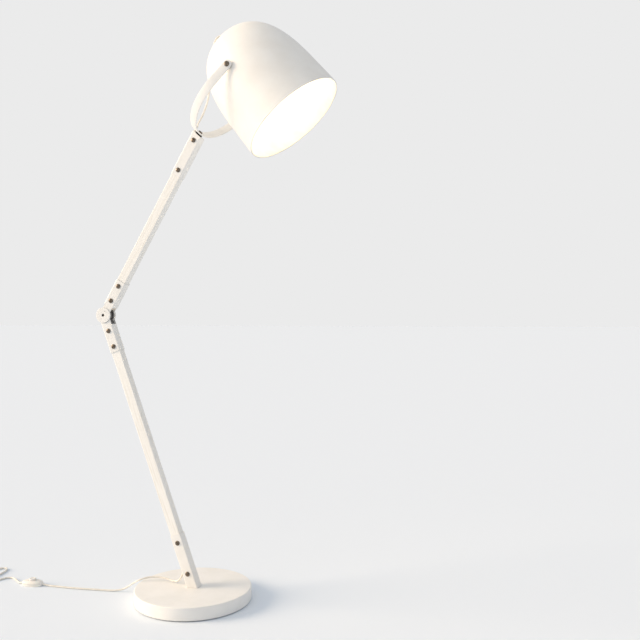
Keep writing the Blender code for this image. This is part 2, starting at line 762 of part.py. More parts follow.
def make_yoke(yoke, top_sleeve):
    strap = piece("yoke_strap", strap_mesh(), LOOKS["steel_white"], yoke)
    tilt_hole = cutter("cut_tilt_holes", rod(TILT_SHANK_RADIUS + HOLE_FIT, -0.2, 0.2, "Y"), yoke)
    tilt_hole.location = (0.0, 0.0, YOKE_REACH)
    half = STRAP_THICK / 2
    shank = YOKE_BOLT_RADIUS
    swivel_hole = cutter("cut_swivel_hole", rod(shank + HOLE_FIT, -0.01, 0.01), yoke)
    cut(strap, tilt_hole, swivel_hole)
    low = -half - YOKE_BOLT_REACH
    socket = cutter("cut_swivel_socket", rod(shank + HOLE_FIT, low - GAP, 0.0), yoke)
    cut(top_sleeve, socket)
    head = half + GAP
    profile = [
        (0.0, low),
        (shank, low),
        (shank, head),
        (YOKE_BOLT_HEAD, head),
        (YOKE_BOLT_HEAD, head + 0.0012),
        (0.85 * YOKE_BOLT_HEAD, head + 0.0023),
        (0.45 * YOKE_BOLT_HEAD, head + 0.0030),
        (0.0, head + 0.0032),
    ]
    piece("yoke_bolt", lathe(profile, 20), LOOKS["steel_bronze"], yoke)
    washer = tube(shank + HOLE_FIT, YOKE_WASHER_RADIUS, -half - YOKE_SPACE + GAP, -half - GAP)
    piece("yoke_washer", washer, LOOKS["fibre_dark"], yoke)


# Shade


def shade_radius(depth):
    """Radius of the shade's outside at a depth below the crown."""
    cone = DOME_RADIUS + SHADE_FLARE * depth
    share = min(max((DOME_LENGTH - depth) / DOME_LENGTH, 0.0), 1.0)
    return cone * (1 - share**DOME_POWER) ** (1 / DOME_POWER)


def shade_outline(offset=0.0):
    """The outside, from the crown down to the rim, as radius and height below the crown."""
    shares = [0.0004, 0.004, 0.013, 0.032, 0.065, 0.11, 0.17, 0.25, 0.36, 0.50, 0.75]
    depths = [share * SHADE_LENGTH for share in shares] + [SHADE_LENGTH]
    points = [(shade_radius(depth), -depth) for depth in depths]
    moved = offset_profile(points, offset)
    return [(0.0, offset), *moved]


def make_shade(shade):
    """Parts on the shade's own axis. The empty's origin is on the tilt axis."""
    centre = Vector((TILT_BACK, 0.0, TILT_DEPTH))

    def on_axis(name, mesh, look):
        return piece(name, shifted(mesh, centre), LOOKS[look], shade)

    outside = shade_outline()
    inside = shade_outline(-SHADE_WALL)
    rim = outside[-1][0]
    bead = arc((rim - RIM_BEAD, -SHADE_LENGTH), RIM_BEAD, 0.0, -pi, 4)
    profile = outside[:-1] + bead + list(reversed(inside[:-1]))
    shell = on_axis("shade_shell", lathe(profile, SHADE_STEPS), "steel_white_shade")
    crown_hole = rod(NIPPLE_RADIUS + HOLE_FIT, -0.01, 0.01)
    cut(shell, cutter("cut_crown_hole", shifted(crown_hole, centre), shade))
    for i in range(VENT_COUNT):
        angle = 2 * pi * (i + 0.5) / VENT_COUNT
        vent = rod(VENT_RADIUS, -0.03, 0.02, steps=8)
        place = centre + Vector((VENT_CIRCLE * cos(angle), VENT_CIRCLE * sin(angle), 0.0))
        cut(shell, cutter(f"cut_vent_{i}", shifted(vent, place), shade))
    cut(shell, cutter("cut_tilt_bores", rod(TILT_SHANK_RADIUS + HOLE_FIT, -0.2, 0.2, "Y"), shade))

    def solid(offset):
        return lathe([*shade_outline(offset), (0.0, -SHADE_LENGTH)], SHADE_STEPS)

    outer_form = cutter("cut_outer_form", shifted(solid(GAP), centre), shade)
    inner_form = cutter("keep_inner_form", shifted(solid(-SHADE_WALL - GAP), centre), shade)
    strap_in = YOKE_HALF - STRAP_THICK / 2
    chord = sqrt(shade_radius(TILT_DEPTH) ** 2 - TILT_BACK**2)
    nut_in = chord - SHADE_WALL - NUT_THICK
    bore = TILT_SHANK_RADIUS + HOLE_FIT
    for name, side in (("left", 1), ("right", -1)):
        low, high = sorted((side * (chord - 0.006), side * (strap_in - GAP)))
        spacer = tube(bore, SPACER_RADIUS, low, high, "Y")
        cut(piece(f"tilt_spacer_{name}", spacer, LOOKS["steel_dark"], shade), outer_form)
        low, high = sorted((side * nut_in, side * (chord + 0.003)))
        nut = tube(bore, NUT_RADIUS, low, high, "Y")
        nut = piece(f"tilt_nut_{name}", nut, LOOKS["steel_bare"], shade)
        combine(nut, "INTERSECT", inner_form)
        seat = YOKE_HALF + STRAP_THICK / 2 + GAP
        profile = [
            (0.0, nut_in - 0.001),
            (TILT_SHANK_RADIUS, nut_in - 0.001),
            (TILT_SHANK_RADIUS, seat),
            (TILT_HEAD_RADIUS, seat),
            (TILT_HEAD_RADIUS, seat + 0.5 * TILT_HEAD_HEIGHT),
            (0.86 * TILT_HEAD_RADIUS, seat + 0.82 * TILT_HEAD_HEIGHT),
            (0.5 * TILT_HEAD_RADIUS, seat + 0.97 * TILT_HEAD_HEIGHT),
            (0.0, seat + TILT_HEAD_HEIGHT),
        ]
        profile = [(r, side * y) for r, y in profile]
        piece(f"tilt_screw_{name}", lathe(profile, 14, "Y"), LOOKS["steel_bronze"], shade)

    gland = [
        (0.0, -NIPPLE_LENGTH),
        (NIPPLE_RADIUS, -NIPPLE_LENGTH),
        (NIPPLE_RADIUS, GAP),
        (GLAND_RADIUS, GAP),
        (GLAND_RADIUS, 0.6 * GLAND_THICK),
        (GLAND_RADIUS - 0.0012, GLAND_THICK),
        (GLAND_BOSS_RADIUS, GLAND_THICK),
        (GLAND_BOSS_RADIUS - 0.0006, GLAND_BOSS_HEIGHT - 0.0008),
        (GLAND_BOSS_RADIUS - 0.0016, GLAND_BOSS_HEIGHT),
        (0.0, GLAND_BOSS_HEIGHT),
    ]
    on_axis("crown_gland", lathe(gland, 22), "steel_dark")
    bore = NIPPLE_RADIUS + HOLE_FIT
    nut_top = -SHADE_WALL - GAP - 0.0004
    nut_low = nut_top - GLAND_NUT_THICK
    on_axis("gland_nut", tube(bore, GLAND_NUT_RADIUS, nut_low, nut_top), "steel_bare")
    top = nut_low - GAP
    low = top - HOLDER_LENGTH
    seat = low + BULB_CAP_LENGTH
    holder = [
        (bore, top),
        (0.6 * HOLDER_RADIUS, top),
        (0.92 * HOLDER_RADIUS, top - 0.004),
        (HOLDER_RADIUS, top - 0.012),
        (HOLDER_RADIUS, low),
        (HOLDER_RADIUS - HOLDER_WALL, low),
        (HOLDER_RADIUS - HOLDER_WALL, seat + 2 * GAP),
        (bore, seat + 2 * GAP),
    ]
    on_axis("lamp_holder", lathe(holder, 22), "plastic_white")
    neck = BULB_CAP_RADIUS + 0.0004
    cap = [(0.0, seat), (0.4 * BULB_CAP_RADIUS, seat), (BULB_CAP_RADIUS, seat - 0.004)]
    cap += [(BULB_CAP_RADIUS, low), (0.0, low)]
    on_axis("bulb_cap", lathe(cap, 16), "steel_bare")
    tip = low - GAP - BULB_LENGTH
    ball = tip + BULB_RADIUS
    glass = [(0.0, low - GAP), (neck, low - GAP), (1.1 * neck, low - 0.010)]
    glass += arc((0.0, ball), BULB_RADIUS, 0.30 * pi, -pi / 2, 6)[:-1]
    glass.append((0.0, tip))
    on_axis("bulb_glass", lathe(glass, 20), "glass_opal")


# Foot switch, plug and cords


def capsule(half_length, half_width, steps=7):
    """An oval whose ends are half ellipses, fuller than a plain ellipse."""
    points = []
    for i in range(4 * steps):
        angle = 2 * pi * i / (4 * steps)
        x = abs(cos(angle)) ** 0.82 * half_length * (1 if cos(angle) >= 0 else -1)
        y = abs(sin(angle)) ** 0.82 * half_width * (1 if sin(angle) >= 0 else -1)
        points.append((x, y))
    return points


def stack(layers):
    """A closed body through oval layers of (half length, half width, height)."""
    mesh = bmesh.new()
    rings = [[mesh.verts.new((x, y, z)) for x, y in capsule(a, b)] for a, b, z in layers]
    for lower, upper in zip(rings, rings[1:]):
        for i in range(len(lower)):
            j = (i + 1) % len(lower)
            mesh.faces.new((lower[i], lower[j], upper[j], upper[i]))
    mesh.faces.new(list(reversed(rings[0])))
    mesh.faces.new(rings[-1])
    return mesh


def make_switch(switch):
    a, b = SWITCH_LENGTH / 2, SWITCH_WIDTH / 2
    wall = SWITCH_WALL
    floor = 0.0002
    split = SWITCH_BASE_HEIGHT
    shell = stack([(a - 0.0008, b - 0.0008, floor), (a, b, floor + 0.0008), (a, b, split)])
    shell = piece("switch_base", shell, LOOKS["plastic_white"], switch)
    hollow = stack([(a - wall, b - wall, wall), (a - wall, b - wall, split + 0.01)])
    cut(shell, cutter("cut_switch_base", hollow, switch))
    top = SWITCH_HEIGHT
    low = split + GAP
    dome = [(a, b, low), (a, b, low + 0.002), (0.96 * a, 0.95 * b, top - 0.0022)]
    dome += [(0.88 * a, 0.84 * b, top - 0.0006), (0.78 * a, 0.72 * b, top)]
    cover = piece("switch_cover", stack(dome), LOOKS["plastic_white"], switch)
    inner = [(a - wall, b - wall, 0.0), (a - wall, b - wall, top - 2 * wall)]
    inner = stack([*inner, (0.72 * a, 0.68 * b, top - wall)])
    hole = rod(BUTTON_RADIUS + HOLE_FIT, 0.0, 2 * top, steps=18)
    cut(cover, cutter("cut_switch_cover", inner, switch), cutter("cut_button_hole", hole, switch))
    crown = top + BUTTON_RISE
    skirt = BUTTON_SKIRT
    lip = top - wall - GAP
    button = [
        (0.0, lip - 0.0012),
        (skirt, lip - 0.0012),
        (skirt, lip),
        (BUTTON_RADIUS, lip),
        (BUTTON_RADIUS, crown - 0.0014),
        (BUTTON_RADIUS - 0.0006, crown - 0.0004),
        (BUTTON_RADIUS - 0.0020, crown),
        (0.0, crown - 0.0002),
    ]
    piece("switch_button", lathe(button, 18), LOOKS["plastic_white"], switch)
    body_top = lip - 0.0012 - BUTTON_TRAVEL - GAP
    contact = block((-0.011, -0.007, wall + GAP), (0.011, 0.007, body_top))
    piece("switch_contact", contact, LOOKS["fibre_dark"], switch)


def make_plug(plug):
    half_l, half_w, high = PLUG_LENGTH / 2, PLUG_WIDTH / 2, PLUG_HEIGHT
    layers = [(0.94, 0.0), (1.0, 0.15), (1.0, 0.85), (0.94, 1.0)]
    mesh = bmesh.new()
    outline = [(-half_l, -0.30 * half_w), (-0.35 * half_l, -half_w), (half_l, -half_w)]
    outline += [(half_l, half_w), (-0.35 * half_l, half_w), (-half_l, 0.30 * half_w)]
    rings = []
    for share, rise in layers:
        ring = [(share * x, share * y, 0.0002 + rise * high) for x, y in outline]
        rings.append([mesh.verts.new(point) for point in ring])
    for lower, upper in zip(rings, rings[1:]):
        for i in range(len(outline)):
            j = (i + 1) % len(outline)
            mesh.faces.new((lower[i], lower[j], upper[j], upper[i]))
    mesh.faces.new(list(reversed(rings[0])))
    mesh.faces.new(rings[-1])
    piece("plug_body", mesh, LOOKS["plastic_white"], plug)
    for name, side in (("a", 1), ("b", -1)):
        pin = rod(PIN_RADIUS, 0.0, PIN_LENGTH, steps=12)
        bmesh.ops.rotate(pin, verts=pin.verts, matrix=Matrix.Rotation(pi / 2, 3, "Y"))
        place = (half_l + GAP, side * PIN_SPACING / 2, 0.0002 + high / 2)
        piece(f"plug_pin_{name}", shifted(pin, place), LOOKS["steel_bare"], plug)


def make_cords(lower, upper, yoke):
    """The mains cable from the crown to the foot, then the cord to the foot switch and plug."""
    cable = LOOKS["cord_white"]
    back = -CABLE_BACK
    radius = CABLE_RADIUS
    wrap = [(-0.0072, 0.038), (-0.0106, 0.024), (-0.0138, 0.008)]
    half_turn = (UPPER_LEAN + LOWER_LEAN) / 2
    middle = (UPPER_LEAN - LOWER_LEAN) / 2
    ends = [on_frame(lower, back, -0.050)]
    ends += [on_frame(lower, x, -z) for x, z in wrap]
    for share in (-0.5, 0.0, 0.5):
        angle = middle + share * half_turn
        turn = Matrix.Rotation(angle, 3, "Y")
        ends.append(Vector(lower.location) + turn @ Vector((-CABLE_WRAP, 0.0, 0.0)))
    ends += [on_frame(upper, x, z) for x, z in reversed(wrap)]
    ends.append(on_frame(upper, back, 0.050))
    cord("cable_elbow", ends, radius, cable, 0.006)

    foot = LOWER_LENGTH - FOOT_CABLE_END
    lower_run = [on_frame(lower, back, z) for z in (-0.050 - GAP, -foot / 2, -foot)]
    cord("cable_lower", lower_run, radius, cable, 0.08)

    out = [(back, 0.050 + GAP), (back, 0.25), (back, 0.44), (back - 0.0002, 0.462)]
    out += [(back - 0.0012, 0.474), (back - 0.0034, 0.484), (back - 0.0063, 0.492)]
    cord("cable_upper", [on_frame(upper, x, z) for x, z in out], radius, cable, 0.012)

    head = [Vector(yoke.location) + Vector(p) for p in HEAD_ROUTE]
    last = on_frame(upper, *out[-1])
    before = on_frame(upper, *out[-2])
    rise = (last - before).normalized()
    leave = (head[1] - head[0]).normalized()
    swivel = [last + rise * GAP, last + rise * 0.004, on_frame(yoke, -0.0160, 0.0010, 0.0015)]
    swivel += [on_frame(yoke, -0.0195, 0.0085, 0.0055), head[0] - leave * 0.004, head[0] - leave * GAP]
    cord("swivel_cable", swivel, radius, cable, 0.0035)
    cord("head_cable", head, radius, cable, 0.009)

    cord("cord_strain_relief", RELIEF_ROUTE, RELIEF_ROOT, LOOKS["rubber_white"], 0.004, RELIEF_TIP)
    cord("cord_to_switch", SWITCH_ROUTE, CORD_RADIUS, cable)
    cord("cord_to_coil", COIL_ROUTE, CORD_RADIUS, cable)
    cord("cord_to_plug", TAIL_ROUTE, CORD_RADIUS, cable, 0.009)
    half = COIL_LAYERS * CORD_RADIUS
    middle = COIL_TURN_RADIUS
    ring = [
        (middle - half, 0.0003),
        (middle + half, 0.0003),
        (middle + half, 2 * half),
        (middle - half, 2 * half),
    ]
    piece("cord_coil", shifted(lathe(ring, 32), (*COIL_CENTRE, 0.0)), cable)


clear_scene()
LOOKS = {
    "steel_white": finish("steel_white", (0.86, 0.85, 0.82), 0.45),
    "steel_white_shade": finish("steel_white_shade", (0.88, 0.87, 0.84), 0.40),
    "wood_white": finish("wood_white", (0.87, 0.86, 0.83), 0.55),
    "steel_bronze": finish("steel_bronze", (0.05, 0.03, 0.025), 0.35, 1.0),
    "steel_dark": finish("steel_dark", (0.06, 0.06, 0.06), 0.45, 0.6),
    "steel_bare": finish("steel_bare", (0.55, 0.55, 0.53), 0.35, 1.0),
    "fibre_dark": finish("fibre_dark", (0.04, 0.04, 0.04), 0.8),
    "rubber_dark": finish("rubber_dark", (0.05, 0.05, 0.05), 0.85),
    "rubber_white": finish("rubber_white", (0.80, 0.79, 0.76), 0.6),
    "plastic_white": finish("plastic_white", (0.84, 0.83, 0.80), 0.35),
    "cord_white": finish("cord_white", (0.78, 0.77, 0.74), 0.6),
    "glass_opal": finish("glass_opal", (0.95, 0.93, 0.86), 0.2),
    "tool": finish("tool", (0.8, 0.2, 0.2), 0.5),
}

elbow_x = FOOT_X - LOWER_LENGTH * sin(LOWER_LEAN)
elbow_z = BASE_TOP + LOWER_LENGTH * cos(LOWER_LEAN)
lower_frame = frame("lower_arm_frame", (elbow_x, 0.0, elbow_z), -LOWER_LEAN)
upper_frame = frame("upper_arm_frame", (elbow_x, 0.0, elbow_z), UPPER_LEAN)
yoke_frame = frame("yoke_frame", on_frame(upper_frame, 0.0, UPPER_LENGTH), YOKE_LEAN)
shade_frame = frame("shade_frame", on_frame(yoke_frame, 0.0, YOKE_REACH), -SHADE_TILT)
switch_frame = frame("switch_frame", (*SWITCH_PLACE, 0.0))
switch_frame.rotation_euler = (0.0, 0.0, SWITCH_TURN)
plug_frame = frame("plug_frame", (*PLUG_PLACE, 0.0))
plug_frame.rotation_euler = (0.0, 0.0, PLUG_TURN)

make_base()
make_lower_arm(lower_frame)
make_elbow_joint(upper_frame)
top_sleeve = make_upper_arm(upper_frame)
make_yoke(yoke_frame, top_sleeve)
make_shade(shade_frame)
make_switch(switch_frame)
make_plug(plug_frame)
make_cords(lower_frame, upper_frame, yoke_frame)
bpy.context.view_layer.update()
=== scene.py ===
import json
from math import cos, pi, radians, sin, sqrt

import bpy
import numpy as np
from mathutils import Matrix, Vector

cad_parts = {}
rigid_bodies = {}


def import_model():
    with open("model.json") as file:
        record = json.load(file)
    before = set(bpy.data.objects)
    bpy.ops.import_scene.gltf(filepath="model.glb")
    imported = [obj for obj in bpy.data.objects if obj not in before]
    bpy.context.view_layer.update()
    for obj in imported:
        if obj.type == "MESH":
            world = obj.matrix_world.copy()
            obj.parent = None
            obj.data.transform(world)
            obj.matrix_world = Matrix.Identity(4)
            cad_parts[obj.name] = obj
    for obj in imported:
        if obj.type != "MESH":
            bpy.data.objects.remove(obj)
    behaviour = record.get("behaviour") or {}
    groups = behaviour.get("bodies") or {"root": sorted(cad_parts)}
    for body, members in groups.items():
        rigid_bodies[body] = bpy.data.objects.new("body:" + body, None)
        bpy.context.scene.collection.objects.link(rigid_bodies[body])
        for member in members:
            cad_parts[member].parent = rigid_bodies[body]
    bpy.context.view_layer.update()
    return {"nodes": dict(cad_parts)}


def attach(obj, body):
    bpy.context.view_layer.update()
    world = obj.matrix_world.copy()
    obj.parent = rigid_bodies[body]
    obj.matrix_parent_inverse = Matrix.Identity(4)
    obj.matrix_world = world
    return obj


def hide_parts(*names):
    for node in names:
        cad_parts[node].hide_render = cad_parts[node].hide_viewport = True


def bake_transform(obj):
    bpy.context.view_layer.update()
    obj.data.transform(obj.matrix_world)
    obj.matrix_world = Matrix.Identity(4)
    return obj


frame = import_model()
nodes = frame["nodes"]
print("frame loaded:", len(nodes), "CAD pieces")

# places that several pieces share, in metres
lamp = {
    "baseTop": 0.0326,
    "footX": 0.0022,
    "lowerLean": radians(19.83),
    "lowerLength": 0.6967,
    "upperLean": radians(29.80),
    "upperLength": 0.5056,
    "yokeLean": radians(44.6),
    "yokeReach": 0.1657,
    "shadeTilt": radians(39.92),
    "tiltDepth": 0.1033,
    "tiltBack": 0.0289,
}


def leaned(origin, lean, points):
    # points of a frame whose own z leans forward by an angle: turned about y, then moved
    local = np.atleast_2d(np.asarray(points, dtype=float))
    x = local[:, 0] * cos(lean) + local[:, 2] * sin(lean)
    z = local[:, 2] * cos(lean) - local[:, 0] * sin(lean)
    return np.stack([x, local[:, 1], z], axis=1) + np.asarray(origin)


footPlace = (lamp["footX"], 0.0, lamp["baseTop"])
elbowPlace = leaned(footPlace, -lamp["lowerLean"], (0.0, 0.0, lamp["lowerLength"]))[0]
strapPlace = leaned(elbowPlace, lamp["upperLean"], (0.0, 0.0, lamp["upperLength"]))[0]
tiltPlace = leaned(strapPlace, lamp["yokeLean"], (0.0, 0.0, lamp["yokeReach"]))[0]
crownPlace = leaned(tiltPlace, -lamp["shadeTilt"], (lamp["tiltBack"], 0.0, lamp["tiltDepth"]))[0]


# camera

view = {"place": (0.7504, -1.7104, 0.6811), "along": (-0.2462, 0.9692, -0.0026), "lens": 42.884}
lens = bpy.data.cameras.new("viewCamera")
lens.lens = view["lens"]
lens.sensor_width = 36.0
camera = bpy.data.objects.new("viewCamera", lens)
camera.location = view["place"]
camera.rotation_euler = Vector(view["along"]).to_track_quat("-Z", "Y").to_euler()
bpy.context.scene.collection.objects.link(camera)
bpy.context.scene.camera = camera
print("camera set")


# materials: helpers


def fromHex(value):
    # sRGB to linear: each share over 12.92 near black, else ((share + 0.055) / 1.055) to the power 2.4
    shares = [int(value[i : i + 2], 16) / 255 for i in (1, 3, 5)]
    linear = [s / 12.92 if s <= 0.04045 else ((s + 0.055) / 1.055) ** 2.4 for s in shares]
    return (*linear, 1.0)


def addNode(tree, kind, settings, links=()):
    node = tree.nodes.new(kind)
    for key, value in settings.items():
        if isinstance(key, str) and hasattr(node, key):
            setattr(node, key, value)
        else:
            node.inputs[key].default_value = value
    for key, socket in dict(links).items():
        tree.links.new(socket, node.inputs[key])
    return node


def newFinish(name, colour, roughness, metallic=0.0, **sockets):
    made = bpy.data.materials.new(name)
    made.use_nodes = True
    tree = made.node_tree
    shader = tree.nodes["Principled BSDF"]
    shader.inputs["Base Color"].default_value = fromHex(colour)
    shader.inputs["Roughness"].default_value = roughness
    shader.inputs["Metallic"].default_value = metallic
    for key, value in sockets.items():
        shader.inputs[key.replace("_", " ")].default_value = value
    made.diffuse_color = fromHex(colour)
    return made, tree, shader


def perMetre(millimetres):
    return 1000.0 / millimetres


def tinted(tree, shader, fine, pale, deep, low=0.35, high=0.65):
    # base colour wanders between two close tones along a pattern
    ramp = addNode(tree, "ShaderNodeValToRGB", {}, {"Fac": fine})
    ramp.color_ramp.elements[0].position = low
    ramp.color_ramp.elements[0].color = fromHex(deep)
    ramp.color_ramp.elements[1].position = high
    ramp.color_ramp.elements[1].color = fromHex(pale)
    tree.links.new(ramp.outputs["Color"], shader.inputs["Base Color"])


def roughened(tree, shader, pattern, low, high):
    # the middle of a pattern's range is spread over low to high
    limits = {"From Min": 0.3, "From Max": 0.7, "To Min": low, "To Max": high}
    spread = addNode(tree, "ShaderNodeMapRange", limits, {"Value": pattern})
    tree.links.new(spread.outputs["Result"], shader.inputs["Roughness"])


def bumped(tree, shader, height, depth, edge=0.0):
    # depth of the relief in metres; edge rounds the piece's corners in the shading
    bump = addNode(tree, "ShaderNodeBump", {"Strength": 1.0, "Distance": depth}, {"Height": height})
    if edge:
        bevel = addNode(tree, "ShaderNodeBevel", {"samples": 6, "Radius": edge})
        tree.links.new(bevel.outputs["Normal"], bump.inputs["Normal"])
    tree.links.new(bump.outputs["Normal"], shader.inputs["Normal"])


def noise(tree, vector, millimetres, detail=3.0, rough=0.55):
    settings = {"Scale": perMetre(millimetres), "Detail": detail, "Roughness": rough}
    return addNode(tree, "ShaderNodeTexNoise", settings, {"Vector": vector}).outputs["Fac"]


def objectPoint(tree):
    return addNode(tree, "ShaderNodeTexCoord", {}).outputs["Object"]


# Polyester powder coat on sheet steel: a satin off-white skin with a faint orange peel of about 1.5 mm
powderCoat = {"pale": "#F2F0EC", "deep": "#EDEBE6", "peel": 1.5, "relief": 0.000012, "smooth": 0.36, "dull": 0.46}


def makePowderCoat(name, look, edge):
    made, tree, shader = newFinish(name, look["pale"], look["smooth"], IOR=1.5)
    place = objectPoint(tree)
    tinted(tree, shader, noise(tree, place, 45.0), look["pale"], look["deep"])
    roughened(tree, shader, noise(tree, place, 18.0), look["smooth"], look["dull"])
    bumped(tree, shader, noise(tree, place, look["peel"], 2.0), look["relief"], edge)
    return made


steelCoat = makePowderCoat("powderCoatedSteel", powderCoat, 0.0006)
shadeCoat = makePowderCoat("powderCoatedShade", {**powderCoat, "pale": "#F3F1EC", "deep": "#F0EDE7"}, 0.0)

# Gloss white stove enamel inside the shade, smooth so that it throws the light forward
innerEnamel, tree, shader = newFinish("glossEnamelReflector", "#FBF6EA", 0.28, IOR=1.5)
place = objectPoint(tree)
tinted(tree, shader, noise(tree, place, 30.0), "#FCF7EC", "#F8F1E2")
bumped(tree, shader, noise(tree, place, 4.0, 2.0), 0.00001)

# Ash bar under two thin coats of paint: the open pores still draw long lines down the grain.
# Real pores are under 0.5 mm; they are drawn 2 mm wide here so that they show at this size.
paintedAsh = {"pale": "#F5F3EE", "deep": "#EBE7DF", "across": 2.0, "along": 60.0, "relief": 0.00010}


def makePaintedAsh(name, lean):
    made, tree, shader = newFinish(name, paintedAsh["pale"], 0.5, IOR=1.48)
    turned = addNode(tree, "ShaderNodeMapping", {"Rotation": (0.0, -lean, 0.0)}, {"Vector": objectPoint(tree)})
    across = perMetre(paintedAsh["across"])
    stretch = {"Scale": (across, across, perMetre(paintedAsh["along"]))}
    grainPlace = addNode(tree, "ShaderNodeMapping", stretch, {"Vector": turned.outputs["Vector"]})
    fibres = {"Scale": 1.0, "Detail": 4.0, "Distortion": 0.3}
    grain = addNode(tree, "ShaderNodeTexNoise", fibres, {"Vector": grainPlace.outputs["Vector"]})
    tinted(tree, shader, grain.outputs["Fac"], paintedAsh["pale"], paintedAsh["deep"], 0.30, 0.55)
    roughened(tree, shader, grain.outputs["Fac"], 0.58, 0.44)
    bumped(tree, shader, grain.outputs["Fac"], paintedAsh["relief"], 0.0005)
    return made


lowerAsh = makePaintedAsh("paintedAshLower", -lamp["lowerLean"])
upperAsh = makePaintedAsh("paintedAshUpper", lamp["upperLean"])

# Bronzed steel: a chemical brown-black skin on turned screws, glossier where fingers and drivers rub it
bronzed, tree, shader = newFinish("bronzedSteel", "#75695D", 0.34, 1.0)
place = objectPoint(tree)
tinted(tree, shader, noise(tree, place, 3.0), "#8C8073", "#5E544A")
roughened(tree, shader, noise(tree, place, 1.2), 0.26, 0.46)
bumped(tree, shader, noise(tree, place, 0.5, 2.0), 0.000008)

# Phosphated steel: dark grey crystals of about 0.3 mm, drawn at 0.8 mm, dry and even
phosphated, tree, shader = newFinish("phosphatedSteel", "#6A6765", 0.5, 0.6)
place = objectPoint(tree)
tinted(tree, shader, noise(tree, place, 6.0), "#74716E", "#5C5957")
roughened(tree, shader, noise(tree, place, 0.8), 0.42, 0.6)
bumped(tree, shader, noise(tree, place, 0.8, 4.0), 0.00002, 0.0004)

# Zinc-plated steel: bright bluish grey with a soft drawn grain
zincPlated, tree, shader = newFinish("zincPlatedSteel", "#B9BCBD", 0.32, 1.0)
place = objectPoint(tree)
tinted(tree, shader, noise(tree, place, 4.0), "#C4C7C8", "#A5A8A9")
roughened(tree, shader, noise(tree, place, 1.0), 0.24, 0.42)

# Vulcanised fibre: matt black-brown board, pressed from paper, slightly mottled
fibreBoard, tree, shader = newFinish("vulcanisedFibre", "#2A2724", 0.82)
place = objectPoint(tree)
tinted(tree, shader, noise(tree, place, 1.5), "#35302B", "#211F1C")
bumped(tree, shader, noise(tree, place, 0.4, 4.0), 0.00002)

# Nitrile rubber under the base: black, dull, with a moulded grain of about 1 mm
nitrile, tree, shader = newFinish("nitrileRubber", "#1F1F1E", 0.85)
place = objectPoint(tree)
tinted(tree, shader, noise(tree, place, 8.0), "#272726", "#191918")
bumped(tree, shader, noise(tree, place, 1.0, 4.0), 0.00005)

# Injection-moulded ABS, spark-eroded to a fine matt grain of about 0.6 mm
milky = {"Subsurface_Weight": 0.05, "Subsurface_Scale": 0.002}
mouldedAbs, tree, shader = newFinish("mouldedAbs", "#F2EFE8", 0.38, IOR=1.53, **milky)
place = objectPoint(tree)
tinted(tree, shader, noise(tree, place, 20.0), "#F4F1EA", "#EEEAE2")
roughened(tree, shader, noise(tree, place, 0.6), 0.32, 0.46)
bumped(tree, shader, noise(tree, place, 0.6, 2.0), 0.00001)

# Soft PVC cord sheath: satin, and the twisted cores press a long spiral through it every 24 mm
softPvc = {"pale": "#EDE9E0", "deep": "#E1DCD1", "lay": 24.0, "cores": 3.0}
sheath, tree, shader = newFinish("softPvcSheath", softPvc["pale"], 0.45, IOR=1.52)
along = addNode(tree, "ShaderNodeUVMap", {"uv_map": "UVMap"}).outputs["UV"]
parts = addNode(tree, "ShaderNodeSeparateXYZ", {}, {"Vector": along})
layScale = {"operation": "MULTIPLY", 1: perMetre(softPvc["lay"])}
wound = addNode(tree, "ShaderNodeMath", layScale, {0: parts.outputs["Y"]})
turn = addNode(tree, "ShaderNodeMath", {"operation": "MULTIPLY", 1: softPvc["cores"]}, {0: parts.outputs["X"]})
phase = addNode(tree, "ShaderNodeMath", {"operation": "ADD"}, {0: wound.outputs[0], 1: turn.outputs[0]})
angle = addNode(tree, "ShaderNodeMath", {"operation": "MULTIPLY", 1: 2 * pi}, {0: phase.outputs[0]})
spiral = addNode(tree, "ShaderNodeMath", {"operation": "SINE"}, {0: angle.outputs[0]})
tinted(tree, shader, noise(tree, objectPoint(tree), 12.0), softPvc["pale"], softPvc["deep"])
bumped(tree, shader, spiral.outputs[0], 0.00006)

# White elastomer of the strain relief, softer and duller than the sheath
elastomer, tree, shader = newFinish("whiteElastomer", "#E9E5DC", 0.58)
place = objectPoint(tree)
tinted(tree, shader, noise(tree, place, 6.0), "#ECE8DF", "#E2DDD2")
bumped(tree, shader, noise(tree, place, 0.8, 3.0), 0.00002)

# Opal blown glass around a lit lamp: the wall spreads the light, a little dimmer towards the neck
bulb = {"glow": "#FFF0D2", "strength": 16.0}
opalGlass, tree, shader = newFinish("opalGlass", "#FFFAF0", 0.18, IOR=1.5)
shader.inputs["Emission Color"].default_value = fromHex(bulb["glow"])
shader.inputs["Emission Strength"].default_value = bulb["strength"]
place = objectPoint(tree)
tinted(tree, shader, noise(tree, place, 15.0), "#FFFBF2", "#FDF5E6")
print("materials made")


# surfaces


def softened(points, radius, steps=5):
    # a line whose inner corners become quadratic curves: (1-t)^2 first + 2t(1-t) corner + t^2 last
    kept = [np.asarray(points[0], dtype=float)]
    for before, corner, after in zip(points, points[1:], points[2:]):
        before, corner, after = (np.asarray(p, dtype=float) for p in (before, corner, after))
        arms = [side - corner for side in (before, after)]
        sizes = [np.linalg.norm(arm) for arm in arms]
        reach = [min(radius, 0.45 * size) for size in sizes]
        first, last = (corner + arm / size * r for arm, size, r in zip(arms, sizes, reach))
        share = np.linspace(0.0, 1.0, steps + 1)[:, None]
        kept.extend((1 - share) ** 2 * first + 2 * share * (1 - share) * corner + share**2 * last)
    kept.append(np.asarray(points[-1], dtype=float))
    return np.array(kept)


